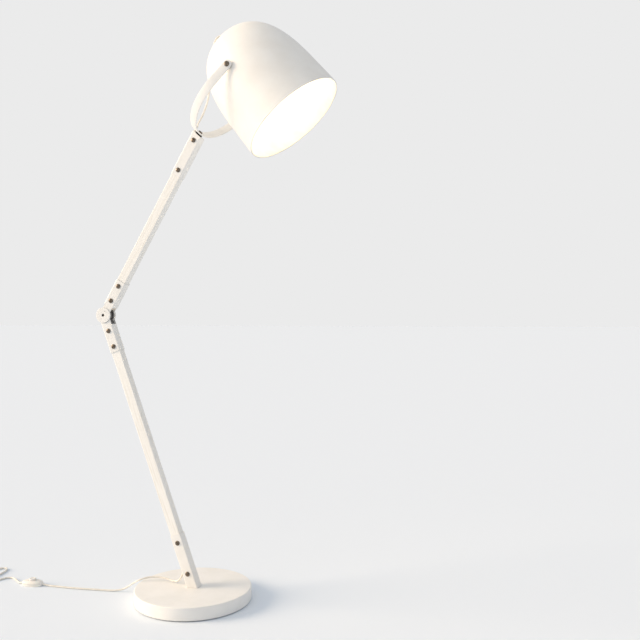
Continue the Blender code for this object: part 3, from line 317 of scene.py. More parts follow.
def turnedSurface(profile, steps):
    # radius and height along a line, carried once round z: radius times cosine, radius times sine, height.
    # A line that ends on the axis closes in one point there; one that doesn't closes on itself.
    profile = np.asarray(profile, dtype=float)
    angle = np.linspace(0.0, 2 * pi, steps, endpoint=False)
    onAxis = profile[:, 0] < 1e-7
    rings = profile[~onAxis]
    x = rings[:, :1] * np.cos(angle)
    y = rings[:, :1] * np.sin(angle)
    z = np.repeat(rings[:, 1:2], steps, axis=1)
    points = np.stack([x, y, z], axis=2).reshape(-1, 3)
    count = len(rings)
    row, column = np.meshgrid(np.arange(count), np.arange(steps), indexing="ij")
    nextRow = (row + 1) % count
    nextColumn = (column + 1) % steps
    here, there = row * steps, nextRow * steps
    quads = np.stack([here + column, here + nextColumn, there + nextColumn, there + column], axis=2)
    closed = not onAxis[0] and not onAxis[-1]
    faces = (quads if closed else quads[:-1]).reshape(-1, 4).tolist()
    column = np.arange(steps)
    for end, first in ((0, 0), (-1, (count - 1) * steps)):
        if onAxis[end]:
            tip = len(points)
            points = np.vstack([points, [0.0, 0.0, profile[end, 1]]])
            fan = np.stack([first + column, first + (column + 1) % steps, np.full(steps, tip)], axis=1)
            faces += (fan[:, ::-1] if end == 0 else fan).tolist()
    return points, faces


def gridSurface(points):
    # rows of closed rings joined row to row, with a flat cap at each end
    rows, columns = points.shape[:2]
    row, column = np.meshgrid(np.arange(rows - 1), np.arange(columns), indexing="ij")
    nextColumn = (column + 1) % columns
    here, there = row * columns, (row + 1) * columns
    quads = np.stack([here + column, here + nextColumn, there + nextColumn, there + column], axis=2)
    faces = quads.reshape(-1, 4).tolist()
    faces.append(list(range(columns))[::-1])
    faces.append(list(range((rows - 1) * columns, rows * columns)))
    return points.reshape(-1, 3), faces


def newMesh(name, points, faces, smoothAngle=35.0, outward=True):
    mesh = bpy.data.meshes.new(name)
    mesh.from_pydata(np.asarray(points).tolist(), [], faces)
    if outward:
        turnOutward(mesh)
    mesh.shade_smooth()
    mesh.set_sharp_from_angle(angle=radians(smoothAngle))
    return mesh


def turnOutward(mesh):
    # signed volume of the closed surface: below zero means that it is inside out
    mesh.calc_loop_triangles()
    corners = np.empty(len(mesh.loop_triangles) * 3, dtype=np.int32)
    mesh.loop_triangles.foreach_get("vertices", corners)
    places = np.empty(len(mesh.vertices) * 3)
    mesh.vertices.foreach_get("co", places)
    a, b, c = (places.reshape(-1, 3)[corners.reshape(-1, 3)[:, i]] for i in range(3))
    if np.einsum("ij,ij->i", a, np.cross(b, c)).sum() < 0:
        mesh.flip_normals()


def addPiece(name, mesh, finish, body, standsFor=()):
    made = bpy.data.objects.new(name, mesh)
    bpy.context.scene.collection.objects.link(made)
    for one in finish if isinstance(finish, tuple) else (finish,):
        mesh.materials.append(one)
    if isinstance(body, dict):
        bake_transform(made)
    else:
        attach(made, body)
    if standsFor:
        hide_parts(*standsFor)
    return made


def carved(mesh, cutterMesh):
    # takes the cutter out of the mesh, and gives back the finished mesh
    scene = bpy.context.scene.collection.objects
    body = bpy.data.objects.new("carvedBody", mesh)
    tool = bpy.data.objects.new("carvingTool", cutterMesh)
    scene.link(body)
    scene.link(tool)
    step = body.modifiers.new("carve", "BOOLEAN")
    step.operation = "DIFFERENCE"
    step.solver = "EXACT"
    step.object = tool
    made = bpy.data.meshes.new_from_object(body.evaluated_get(bpy.context.evaluated_depsgraph_get()))
    bpy.data.objects.remove(body)
    bpy.data.objects.remove(tool)
    made.shade_smooth()
    made.set_sharp_from_angle(angle=radians(35.0))
    return made


def smoothLine(points, spacing):
    # evenly spaced points of a centripetal Catmull-Rom curve: each knot's time grows by the root of the distance
    knots = np.asarray(points, dtype=float)
    ends = np.vstack([2 * knots[0] - knots[1], knots, 2 * knots[-1] - knots[-2]])
    p0, p1, p2, p3 = (ends[i : len(ends) - 3 + i][:, None, :] for i in range(4))
    t0 = 0.0
    t1 = t0 + np.sqrt(np.linalg.norm(p1 - p0, axis=2, keepdims=True))
    t2 = t1 + np.sqrt(np.linalg.norm(p2 - p1, axis=2, keepdims=True))
    t3 = t2 + np.sqrt(np.linalg.norm(p3 - p2, axis=2, keepdims=True))
    t = t1 + (t2 - t1) * np.linspace(0.0, 1.0, 24, endpoint=False)[None, :, None]
    a1 = p0 + (p1 - p0) * (t - t0) / (t1 - t0)
    a2 = p1 + (p2 - p1) * (t - t1) / (t2 - t1)
    a3 = p2 + (p3 - p2) * (t - t2) / (t3 - t2)
    b1 = a1 + (a2 - a1) * (t - t0) / (t2 - t0)
    b2 = a2 + (a3 - a2) * (t - t1) / (t3 - t1)
    dense = np.vstack([(b1 + (b2 - b1) * (t - t1) / (t2 - t1)).reshape(-1, 3), knots[-1:]])
    return evenly(dense, spacing)


def evenly(points, spacing):
    reach = np.concatenate([[0.0], np.cumsum(np.linalg.norm(np.diff(points, axis=0), axis=1))])
    want = np.linspace(0.0, reach[-1], max(3, round(reach[-1] / spacing)) + 1)
    return np.stack([np.interp(want, reach, points[:, i]) for i in range(3)], axis=1)


def lineLength(points):
    return float(np.linalg.norm(np.diff(points, axis=0), axis=1).sum())


def sectionsAlong(line):
    # two cross directions at each point of a line, turned as little as possible on the way
    tangent = np.gradient(line, axis=0)
    tangent /= np.linalg.norm(tangent, axis=1, keepdims=True)
    side = np.cross(tangent[0], (0.0, 1.0, 0.0))
    if np.linalg.norm(side) < 0.1:
        side = np.cross(tangent[0], (0.0, 0.0, 1.0))
    sides = []
    for direction in tangent:
        side = side - direction * np.dot(side, direction)
        side = side / np.linalg.norm(side)
        sides.append(side)
    sides = np.array(sides)
    return sides, np.cross(tangent, sides)


def carriedRound(name, line, radius, around=20):
    # a round section carried along a line: point + radius (cosine side + sine other side).
    # The radius is given once or for each point. UV: share of the way round, metres along.
    one, two = sectionsAlong(line)
    angle = np.linspace(0.0, 2 * pi, around, endpoint=False)[None, :, None]
    width = np.broadcast_to(np.asarray(radius, dtype=float), (len(line),))[:, None, None]
    rings = line[:, None, :] + width * (np.cos(angle) * one[:, None, :] + np.sin(angle) * two[:, None, :])
    points, faces = gridSurface(rings)
    mesh = newMesh(name, points, faces, 60.0, False)
    reach = np.concatenate([[0.0], np.cumsum(np.linalg.norm(np.diff(line, axis=0), axis=1))])
    row, column = np.meshgrid(np.arange(len(line) - 1), np.arange(around), indexing="ij")
    share = np.stack([column, column + 1, column + 1, column], axis=2) / around
    metres = reach[np.stack([row, row, row + 1, row + 1], axis=2)]
    ends = np.zeros((2 * around, 2))
    layout = np.vstack([np.stack([share, metres], axis=3).reshape(-1, 2), ends])
    mesh.uv_layers.new(name="UVMap").data.foreach_set("uv", layout.ravel())
    turnOutward(mesh)
    return mesh


# cords

cordSize = {"radius": 0.00225, "spacing": 0.0030}
switchSpot = {"place": (-0.4385, -0.0075), "turn": radians(3.0)}
reliefRoute = [
    (-0.02854, 0.0, 0.09750),
    (-0.02630, 0.0, 0.09050),
    (-0.02520, 0.0, 0.08350),
    (-0.02520, 0.0, 0.07650),
    (-0.02620, 0.0, 0.06950),
]
switchRoute = [
    (-0.02626, 0.0, 0.06920),
    (-0.02900, 0.0006, 0.05900),
    (-0.03450, 0.0020, 0.04850),
    (-0.04300, 0.0050, 0.04000),
    (-0.05600, 0.0095, 0.03720),
    (-0.07800, 0.0140, 0.04000),
    (-0.10100, 0.0150, 0.04150),
    (-0.12200, 0.0100, 0.04080),
    (-0.13950, 0.0010, 0.03700),
    (-0.15200, 0.0, 0.03120),
    (-0.16400, 0.0045, 0.02350),
    (-0.17600, 0.0070, 0.01500),
    (-0.18900, 0.0060, 0.00750),
    (-0.20500, 0.0030, 0.00360),
    (-0.22600, 0.0, 0.00255),
    (-0.26500, -0.0035, 0.00255),
    (-0.31700, -0.0075, 0.00255),
    (-0.36600, -0.0075, 0.00255),
    (-0.39500, -0.0068, 0.00290),
    (-0.41020, -0.0061, 0.00420),
]
coilRoute = [
    (-0.46680, -0.0090, 0.00420),
    (-0.47600, -0.0078, 0.00300),
    (-0.48800, 0.0010, 0.00255),
    (-0.50200, 0.0120, 0.00255),
    (-0.51800, 0.0200, 0.00255),
    (-0.53200, 0.0170, 0.00255),
    (-0.54000, 0.0040, 0.00255),
    (-0.54900, -0.0080, 0.00255),
    (-0.56000, -0.0010, 0.00255),
    (-0.56600, 0.0200, 0.00255),
    (-0.56800, 0.0450, 0.00255),
    (-0.57200, 0.0680, 0.00255),
    (-0.58200, 0.0820, 0.00255),
    (-0.59400, 0.0800, 0.00255),
    (-0.60200, 0.0650, 0.00255),
    (-0.60800, 0.0450, 0.00255),
    (-0.61700, 0.0240, 0.00255),
    (-0.62600, 0.0141, 0.00255),
]
tailRoute = [
    (-0.6730, -0.0280, 0.00420),
    (-0.6740, -0.0420, 0.00300),
    (-0.6650, -0.0530, 0.00290),
    (-0.6500, -0.0570, 0.00400),
    (-0.6350, -0.0610, 0.00600),
    (-0.6285, -0.0652, 0.00690),
]
# the neat coil: three columns of three turns. Each row is degrees from its start, radius, height.
coil = {"centre": (-0.6300, -0.0200), "start": 120.0}
coilTurns = [
    (0, 29.56, 2.50),
    (300, 29.56, 2.50),
    (360, 29.56, 7.06),
    (660, 29.56, 7.06),
    (720, 29.56, 11.62),
    (960, 29.56, 11.62),
    (1020, 25.00, 11.62),
    (1260, 25.00, 11.62),
    (1320, 25.00, 7.06),
    (1620, 25.00, 7.06),
    (1680, 25.00, 2.50),
    (1920, 25.00, 2.50),
    (1980, 20.44, 2.50),
    (2220, 20.44, 2.50),
    (2280, 20.44, 7.06),
    (2580, 20.44, 7.06),
    (2640, 20.44, 11.62),
    (2880, 20.44, 11.62),
    (2940, 20.44, 16.20),
    (3040, 29.56, 16.20),
    (3090, 32.90, 14.90),
    (3140, 34.20, 11.62),
    (3220, 34.20, 8.20),
    (3290, 34.20, 5.80),
]


def coilLine():
    # between rows, radius and height ease from one to the next
    table = np.array(coilTurns, dtype=float)
    turn = np.arange(table[0, 0], table[-1, 0] + 0.1, 6.0)
    row = np.clip(np.searchsorted(table[:, 0], turn, side="right") - 1, 0, len(table) - 2)
    share = (turn - table[row, 0]) / (table[row + 1, 0] - table[row, 0])
    ease = share * share * (3 - 2 * share)
    radius = (table[row, 1] + (table[row + 1, 1] - table[row, 1]) * ease) / 1000
    height = (table[row, 2] + (table[row + 1, 2] - table[row, 2]) * ease) / 1000
    angle = np.radians(turn + coil["start"])
    x = coil["centre"][0] + radius * np.cos(angle)
    y = coil["centre"][1] + radius * np.sin(angle)
    return np.stack([x, y, height], axis=1)


reliefLine = smoothLine(reliefRoute, 0.0005)
share = np.linspace(0.0, 1.0, len(reliefLine))
# eight moulded rings, none near its two ends, on a sleeve that narrows towards the cord
relief = {"root": 0.00335, "taper": 0.00055, "rib": 0.00030, "rings": 8}
ringed = (share > 0.10) * (share < 0.95)
ribs = relief["rib"] * np.clip(np.cos(2 * pi * relief["rings"] * share) * 3, -1, 1) * ringed
reliefMesh = carriedRound("strainRelief", reliefLine, relief["root"] - relief["taper"] * share + ribs, 28)
addPiece("strainRelief", reliefMesh, elastomer, "base", ["cord_strain_relief"])

switchLine = smoothLine(switchRoute, cordSize["spacing"])
switchMesh = carriedRound("switchCord", switchLine, cordSize["radius"])
switchCord = addPiece("switchCord", switchMesh, sheath, "base", ["cord_to_switch"])

wholeRoute = np.vstack([coilRoute, coilLine(), tailRoute])
plugLine = smoothLine(wholeRoute, cordSize["spacing"])
plugMesh = carriedRound("plugCord", plugLine, cordSize["radius"], 16)
plugNodes = ["cord_to_coil", "cord_coil", "cord_to_plug"]
plugCord = addPiece("plugCord", plugMesh, sheath, "base", plugNodes)
print("cords laid:", round(lineLength(switchLine), 3), "m and", round(lineLength(plugLine), 3), "m")


# mains cable along the arms

cable = {"radius": 0.00225, "back": -0.0063, "wrap": 0.0145, "footEnd": 0.0718}
wrapRoute = [(-0.0072, 0.038), (-0.0106, 0.024), (-0.0138, 0.008)]
headRoute = [
    (-0.0119, 0.0160, 0.0270),
    (-0.0094, 0.0225, 0.0365),
    (-0.0064, 0.0290, 0.0480),
    (-0.0036, 0.0355, 0.0615),
    (-0.0011, 0.0410, 0.0755),
    (0.0016, 0.0455, 0.0915),
    (0.0035, 0.0475, 0.1075),
    (0.0060, 0.0460, 0.1230),
    (0.0105, 0.0400, 0.1420),
    (0.0180, 0.0300, 0.1660),
    (0.0260, 0.0190, 0.1870),
    (0.0325, 0.0090, 0.2030),
    (0.0370, 0.0025, 0.2145),
    (0.0430, 0.0, 0.2240),
    (0.0515, 0.0, 0.2285),
    (0.0600, 0.0, 0.2280),
    (0.0655, 0.0, 0.2239),
    (0.0680, 0.0, 0.2209),
]


def onLower(x, z):
    return leaned(elbowPlace, -lamp["lowerLean"], (x, 0.0, z))[0]


def onUpper(x, z):
    return leaned(elbowPlace, lamp["upperLean"], (x, 0.0, z))[0]


def onYoke(x, y, z):
    return leaned(strapPlace, lamp["yokeLean"], (x, y, z))[0]


back = cable["back"]
footReach = lamp["lowerLength"] - cable["footEnd"]
lowerRun = [onLower(back, -z) for z in np.linspace(footReach, 0.050, 12)]
middle = (lamp["upperLean"] - lamp["lowerLean"]) / 2
halfTurn = (lamp["upperLean"] + lamp["lowerLean"]) / 2
elbowRun = [onLower(x, -z) for x, z in wrapRoute]
wrapLeans = [middle + share * halfTurn for share in (-0.5, 0.0, 0.5)]
elbowRun += [leaned(elbowPlace, lean, (-cable["wrap"], 0.0, 0.0))[0] for lean in wrapLeans]
elbowRun += [onUpper(x, z) for x, z in reversed(wrapRoute)]
upperRun = [onUpper(back, z) for z in np.linspace(0.050, 0.44, 9)]
leaving = [(0.0002, 0.462), (0.0012, 0.474), (0.0034, 0.484), (0.0063, 0.492)]  # out of the channel, at its top
upperRun += [onUpper(back - x, z) for x, z in leaving]
swivelRun = [onYoke(-0.0160, 0.0010, 0.0015), onYoke(-0.0195, 0.0085, 0.0055)]
headRun = [strapPlace + np.array(p) for p in headRoute]
cableLine = smoothLine([*lowerRun, *elbowRun, *upperRun, *swivelRun, *headRun], 0.0025)


def nearest(place):
    return int(np.argmin(np.linalg.norm(cableLine - np.asarray(place), axis=1)))


joins = [nearest(place) for place in (lowerRun[-1], upperRun[0], upperRun[-1], headRun[0])]
cuts = [0, *joins, len(cableLine) - 1]
cableRuns = [  # a run with two bodies stays in its world place, attached to neither body
    ("lowerCable", "base", "cable_lower"),
    ("elbowCable", ("base", "upper_arm"), "cable_elbow"),
    ("upperCable", "upper_arm", "cable_upper"),
    ("swivelCable", ("upper_arm", "yoke"), "swivel_cable"),
    ("headCable", ("yoke", "shade"), "head_cable"),
]
for (name, body, node), first, last in zip(cableRuns, cuts, cuts[1:]):
    run = cableLine[first : last + 1]
    if isinstance(body, tuple):
        body = {"from": body[0], "to": body[1], "start": run[0], "end": run[-1]}
    addPiece(name, carriedRound(name, run, cable["radius"]), sheath, body, [node])
print("cable run along the arms")


# base

baseDisc = {"radius": 0.140, "low": 0.0020, "top": 0.0326, "round": 0.0030, "steps": 192}
rim, low, top = baseDisc["radius"], baseDisc["low"], baseDisc["top"]
edge = softened([(0.0, low), (rim, low), (rim, top), (0.0, top)], baseDisc["round"], 8)
points, faces = turnedSurface(edge, baseDisc["steps"])
baseMesh = newMesh("baseWeight", points, faces, 30.0)
addPiece("baseWeight", baseMesh, steelCoat, "base", ["base_weight"])
print("base turned")


# shade

shadeForm = {
    "length": 0.2565,
    "dome": 0.1897,
    "radius": 0.1166,
    "flare": 0.0438,
    "power": 2.82,
    "wall": 0.0012,
    "bead": 0.0017,
    "steps": 144,
    "ventCount": 12,
    "ventRadius": 0.0027,
    "ventCircle": 0.0551,
    "crownHole": 0.0053,
}


def shadeRadius(depth):
    # a cone, radius + flare times depth, closed towards the crown by a superellipse: (1 - share^power)^(1/power)
    cone = shadeForm["radius"] + shadeForm["flare"] * depth
    share = np.clip((shadeForm["dome"] - depth) / shadeForm["dome"], 0.0, 1.0)
    return cone * (1 - share ** shadeForm["power"]) ** (1 / shadeForm["power"])


def offsetLine(line, distance):
    # each point moved along the line's normal
    slope = np.gradient(line, axis=0)
    slope /= np.linalg.norm(slope, axis=1, keepdims=True)
    return line + distance * np.stack([-slope[:, 1], slope[:, 0]], axis=1)


depth = shadeForm["length"] * np.linspace(0.0, 1.0, 72) ** 2.6
depth[0] = 0.000004  # just off the axis, so that the crown closes in one point
outside = np.stack([shadeRadius(depth), -depth], axis=1)
inside = offsetLine(outside, -shadeForm["wall"])
rimRadius = outside[-1, 0]
angle = np.linspace(0.0, -pi, 13)
roll = shadeForm["bead"]
bead = np.stack([rimRadius - roll + roll * np.cos(angle), -shadeForm["length"] + roll * np.sin(angle)], axis=1)
bead[:, 0] += 0.0004 * np.sin(-angle)  # the rolled edge stands out a little
coatedBead = 9  # rows of the bead that keep the outer coat
innerStart = len(outside) - 1 + coatedBead
profile = np.vstack([[0.0, 0.0], outside[:-1], bead, inside[:-2][::-1], [0.0, -shadeForm["wall"]]])
points, faces = turnedSurface(profile, shadeForm["steps"])
mesh = newMesh("shadeShell", points, faces, 60.0)
ringOfFace = np.array([min(face) // shadeForm["steps"] for face in faces])
innerFace = ringOfFace >= innerStart
# the two fans that close the crown come last: the outer one, then the inner one
innerFace[-2 * shadeForm["steps"] : -shadeForm["steps"]] = False
innerFace[-shadeForm["steps"] :] = True
mesh.materials.append(shadeCoat)
mesh.materials.append(innerEnamel)
mesh.polygons.foreach_set("material_index", innerFace.astype(np.int32))


def keepMaterials(mesh, count):
    # drops the slots after the first few, which carving adds
    while len(mesh.materials) > count:
        mesh.materials.pop(index=len(mesh.materials) - 1)


def straightPins(places, radius, low, high, steps=24):
    # upright round pins at the given places, all in one mesh
    pin, pinFaces = turnedSurface([(0.0, low), (radius, low), (radius, high), (0.0, high)], steps)
    points = np.vstack([pin + np.array([x, y, 0.0]) for x, y in places])
    faces = [[corner + len(pin) * i for corner in face] for i in range(len(places)) for face in pinFaces]
    return newMesh("pins", points, faces, outward=False)


turns = 2 * pi * (np.arange(shadeForm["ventCount"]) + 0.5) / shadeForm["ventCount"]
vents = [(shadeForm["ventCircle"] * cos(t), shadeForm["ventCircle"] * sin(t)) for t in turns]
ventPins = straightPins(vents, shadeForm["ventRadius"], -0.03, 0.02)
turnOutward(ventPins)
mesh = carved(mesh, ventPins)
mesh = carved(mesh, straightPins([(0.0, 0.0)], shadeForm["crownHole"], -0.01, 0.01, 32))


def standMesh(mesh, origin, lean):
    # puts a mesh made upright onto a leaning axis
    place = np.empty(len(mesh.vertices) * 3)
    mesh.vertices.foreach_get("co", place)
    mesh.vertices.foreach_set("co", leaned(origin, lean, place.reshape(-1, 3)).ravel())
    mesh.update()
    return mesh


standMesh(mesh, crownPlace, -lamp["shadeTilt"])
keepMaterials(mesh, 2)
shell = bpy.data.objects.new("shadeShell", mesh)
bpy.context.scene.collection.objects.link(shell)
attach(shell, "shade")
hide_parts("shade_shell")
print("shade spun:", len(mesh.polygons), "faces")


def turnedOnShade(name, profile, finish, node, radius=0.0004, steps=64):
    points, faces = turnedSurface(softened(profile, radius), steps)
    mesh = newMesh(name, leaned(crownPlace, -lamp["shadeTilt"], points), faces)
    return addPiece(name, mesh, finish, "shade", [node])


gland = [
    (0.0, -0.0180),
    (0.0050, -0.0180),
    (0.0050, 0.0003),
    (0.0190, 0.0003),
    (0.0190, 0.0018),
    (0.0178, 0.0030),
    (0.0065, 0.0030),
    (0.0059, 0.0054),
    (0.0049, 0.0062),
    (0.0, 0.0062),
]
turnedOnShade("crownGland", gland, phosphated, "crown_gland")

holder = [
    (0.0053, -0.0062),
    (0.0117, -0.0062),
    (0.0179, -0.0102),
    (0.0195, -0.0182),
    (0.0195, -0.0300),
    (0.0189, -0.0306),
    (0.0189, -0.0316),
    (0.0195, -0.0322),
    (0.0195, -0.0642),
    (0.0150, -0.0642),
    (0.0150, -0.0386),
    (0.0053, -0.0386),
    (0.0053, -0.0062),
]
points, faces = turnedSurface(softened(holder, 0.0005)[:-1], 64)
holderMesh = newMesh("lampHolder", leaned(crownPlace, -lamp["shadeTilt"], points), faces)
addPiece("lampHolder", holderMesh, mouldedAbs, "shade", ["lamp_holder"])

glass = {"top": -0.0645, "length": 0.0840, "radius": 0.0300, "neck": 0.0134}
tip = glass["top"] - glass["length"]
ball = tip + glass["radius"]
angle = np.linspace(0.30 * pi, -pi / 2, 40)
globe = np.stack([glass["radius"] * np.cos(angle), ball + glass["radius"] * np.sin(angle)], axis=1)
globe[-1, 0] = 0.0
neck = [
    (glass["neck"], 0.0, glass["top"] - 0.0010),
    (0.0138, 0.0, glass["top"] - 0.009),
    (globe[0, 0] * 0.93, 0.0, globe[0, 1] + 0.0042),
    (globe[0, 0], 0.0, globe[0, 1]),
]
neckLine = smoothLine(neck, 0.0015)[:-1][:, (0, 2)]
profile = np.vstack([[0.0, glass["top"]], [glass["neck"] - 0.0006, glass["top"]], neckLine, globe])
points, faces = turnedSurface(profile, 64)
glassMesh = newMesh("bulbGlass", leaned(crownPlace, -lamp["shadeTilt"], points), faces, 60.0)
addPiece("bulbGlass", glassMesh, opalGlass, "shade", ["bulb_glass"])
print("lamp holder and bulb made")


# yoke

yoke = {"half": 0.1200, "bend": 0.1156, "thick": 0.0030, "width": 0.0200, "corner": 0.0009}


def yokeLine():
    # half of the strap's middle line in its y-z plane, and half its width there:
    # flat, a round bend, a straight leg, and a round end whose half width is root(half^2 - lift^2)
    half = yoke["width"] / 2
    start = yoke["half"] - yoke["bend"]
    turn = np.linspace(-pi / 2, 0.0, 72)
    across, up = start + yoke["bend"] * np.cos(turn), yoke["bend"] + yoke["bend"] * np.sin(turn)
    bend = np.stack([across, up, np.full(len(turn), half)], axis=1)
    lift = half * np.sin(np.linspace(0.0, pi / 2, 20))[:-1]
    endWidth = np.sqrt(half**2 - lift**2)
    end = np.stack([np.full(len(lift), yoke["half"]), lamp["yokeReach"] + lift, endWidth], axis=1)
    legs = np.linspace(yoke["bend"], lamp["yokeReach"], 12)[1:-1]
    leg = np.stack([np.full(len(legs), yoke["half"]), legs, np.full(len(legs), half)], axis=1)
    tip = [[yoke["half"], lamp["yokeReach"] + half * 0.9995, 0.0004]]
    return np.vstack([bend, leg, end, tip])


side = yokeLine()
line = np.vstack([side[::-1] * (-1, 1, 1), side])
turn = np.linspace(0.0, 2 * pi, 32, endpoint=False)
thick = yoke["thick"] / 2
corner = yoke["corner"]
slope = np.gradient(line[:, :2], axis=0)
slope /= np.linalg.norm(slope, axis=1, keepdims=True)
normal = np.stack([-slope[:, 1], slope[:, 0]], axis=1)
widthHere = np.maximum(line[:, 2:3] - corner, 0.00005)
across = np.sign(np.cos(turn)) * widthHere + corner * np.cos(turn)
outOf = np.sign(np.sin(turn)) * (thick - corner) + corner * np.sin(turn)
outOf = np.broadcast_to(outOf, across.shape)
y = line[:, :1] + normal[:, :1] * outOf
z = line[:, 1:2] + normal[:, 1:] * outOf
rings = np.stack([across, y, z], axis=2)
points, faces = gridSurface(rings)
strapMesh = newMesh("yokeStrap", leaned(strapPlace, lamp["yokeLean"], points), faces, 50.0)
addPiece("yokeStrap", strapMesh, steelCoat, "yoke", ["yoke_strap"])


def sideways(points):
    # a turned surface laid along y instead of z
    return points[:, (0, 2, 1)]


boltHead = [
    (0.0, -0.0135),
    (0.0030, -0.0135),
    (0.0030, 0.0018),
    (0.0055, 0.0018),
    (0.0055, 0.0030),
    (0.0047, 0.0041),
    (0.0025, 0.0048),
    (0.0, 0.0050),
]
points, faces = turnedSurface(softened(boltHead, 0.0005), 48)
boltMesh = newMesh("yokeBolt", leaned(strapPlace, lamp["yokeLean"], points), faces)
addPiece("yokeBolt", boltMesh, bronzed, "upper_arm", ["yoke_bolt"])
print("yoke bent")


# screws

screw = {
    "shank": 0.0023,
    "head": 0.0058,
    "height": 0.0024,
    "edge": 0.0006,
    "seat": 0.0131,
    "slotWidth": 0.0012,
    "slotDepth": 0.0010,
}


def screwMesh():
    # two domed heads on one shank, along y, each a quarter ellipse over a low edge, with a driver slot
    edge = screw["edge"]
    head = np.array([(screw["shank"], 0.0), (screw["head"], 0.0), (screw["head"], edge)])
    rise = np.linspace(0.0, 1.0, 9)[1:]
    domeHeight = edge + (screw["height"] - edge) * np.sin(rise * pi / 2)
    dome = np.stack([screw["head"] * np.cos(rise * pi / 2), domeHeight], axis=1)
    dome[-1, 0] = 0.0
    half = np.vstack([head, dome])
    half[:, 1] += screw["seat"]
    profile = np.vstack([half[::-1] * (1, -1), half])
    points, faces = turnedSurface(profile, 48)
    mesh = newMesh("screw", sideways(points), faces)
    top = screw["seat"] + screw["height"]
    for low, high in ((top - screw["slotDepth"], top + 0.001), (-top - 0.001, -top + screw["slotDepth"])):
        x, z = 1.2 * screw["head"], screw["slotWidth"] / 2
        box = [(sx * x, y, sz * z) for y in (low, high) for sx, sz in ((-1, -1), (1, -1), (1, 1), (-1, 1))]
        sides = [(0, 1, 2, 3), (7, 6, 5, 4), (0, 4, 5, 1), (1, 5, 6, 2), (2, 6, 7, 3), (3, 7, 4, 0)]
        slot = newMesh("slot", box, sides)
        mesh = carved(mesh, slot)
    return mesh


screwShape = screwMesh()
screwPlaces = [
    ("lower_elbow_screw_1", "base", -0.0413, -lamp["lowerLean"], 0.35),
    ("lower_elbow_screw_2", "base", -0.0821, -lamp["lowerLean"], -0.9),
    ("foot_screw_1", "base", 0.1116 - lamp["lowerLength"], -lamp["lowerLean"], 1.2),
    ("foot_screw_2", "base", 0.0345 - lamp["lowerLength"], -lamp["lowerLean"], -0.3),
    ("upper_elbow_screw_1", "upper_arm", 0.0413, lamp["upperLean"], 0.8),
    ("upper_elbow_screw_2", "upper_arm", 0.0821, lamp["upperLean"], -0.5),
    ("top_screw_1", "upper_arm", lamp["upperLength"] - 0.1023, lamp["upperLean"], 0.1),
    ("top_screw_2", "upper_arm", lamp["upperLength"] - 0.0221, lamp["upperLean"], 1.4),
]
for node, body, height, lean, turn in screwPlaces:
    centre = leaned(elbowPlace, lean, (0.0, 0.0, height))[0]
    mesh = standMesh(screwShape.copy(), centre, lean + turn)
    words = node.split("_")
    name = words[0] + "".join(word.capitalize() for word in words[1:])
    keepMaterials(mesh, 0)
    addPiece(name, mesh, bronzed, body, [node])

tiltScrew = {"shank": 0.0024, "head": 0.0060, "seat": 0.1218, "rise": 0.0036}
chord = sqrt(shadeRadius(lamp["tiltDepth"]) ** 2 - lamp["tiltBack"] ** 2)
innerEnd = chord - shadeForm["wall"] - 0.0055 - 0.001
for node, side in (("tilt_screw_left", 1), ("tilt_screw_right", -1)):
    seat = tiltScrew["seat"]
    profile = softened(
        [
            (0.0, innerEnd),
            (tiltScrew["shank"], innerEnd),
            (tiltScrew["shank"], seat),
            (tiltScrew["head"], seat),
            (tiltScrew["head"], seat + 0.0018),
            (0.0052, seat + 0.0029),
            (0.0030, seat + 0.0035),
            (0.0, seat + tiltScrew["rise"]),
        ],
        0.0006,
    )
    points, faces = turnedSurface(profile, 48)
    points = sideways(points) * (1, side, 1)
    mesh = newMesh(node, points + tiltPlace, faces)
    name = "tiltScrewLeft" if side > 0 else "tiltScrewRight"
    addPiece(name, mesh, bronzed, "shade", [node])
print("screws set")


# elbow caps

cap = {
    "radius": 0.0190,
    "inner": 0.0128,
    "thick": 0.0024,
    "hole": 0.0035,
    "pinRadius": 0.0015,
    "pinPlace": 0.0109,
}
low = cap["inner"]
high = low + cap["thick"]
boltProfile = [
    (0.0, high - 0.0016),
    (cap["hole"], high - 0.0016),
    (cap["hole"], high),
    (cap["radius"], high),
    (cap["radius"], low),
    (0.0040, low),
    (0.0040, -low - 0.0010),
    (0.0, -low - 0.0010),
]
nutProfile = [
    (0.0043, low),
    (cap["radius"], low),
    (cap["radius"], high),
    (cap["hole"], high),
    (cap["hole"], low + 0.0013),
    (0.0043, low + 0.0013),
    (0.0043, low),
]
pinPlaces = [(0.0, -cap["pinPlace"]), (0.0, cap["pinPlace"])]
caps = [("elbowBolt", "elbow_bolt", boltProfile, -1), ("elbowNut", "elbow_nut", nutProfile, 1)]
for name, node, profile, side in caps:
    line = softened(profile, 0.0008, 6)
    if side > 0:
        line = line[:-1]
    points, faces = turnedSurface(line, 96)
    upright = newMesh(name, points, faces)
    pins = straightPins(pinPlaces, cap["pinRadius"], high - 0.0013, high + 0.002)
    turnOutward(pins)
    upright = carved(upright, pins)
    place = np.empty(len(upright.vertices) * 3)
    upright.vertices.foreach_get("co", place)
    place = place.reshape(-1, 3)[:, (0, 2, 1)] * (1, side, 1)
    upright.vertices.foreach_set("co", leaned(elbowPlace, lamp["upperLean"], place).ravel())
    upright.update()
    turnOutward(upright)
    keepMaterials(upright, 0)
    addPiece(name, upright, steelCoat, "upper_arm", [node])
# painted shade: a dark fibre disc sits in the shallow centre recess of each elbow cap and stands for the shade
# inside a deep centre hole
holeShadeWide = cap["hole"] - 0.0002
holeShadeDisc = [(0.0, low + 0.0005), (holeShadeWide, low + 0.0005), (holeShadeWide, high - 0.0010), (0.0, high - 0.0010)]
for name, side in (("holeShadeDiscRight", -1), ("holeShadeDiscLeft", 1)):
    points, faces = turnedSurface(softened(holeShadeDisc, 0.0002), 48)
    points = sideways(points) * (1, side, 1)
    holeShadeMesh = newMesh(name, leaned(elbowPlace, lamp["upperLean"], points), faces)
    addPiece(name, holeShadeMesh, fibreBoard, "upper_arm")
print("elbow caps made")


# foot switch

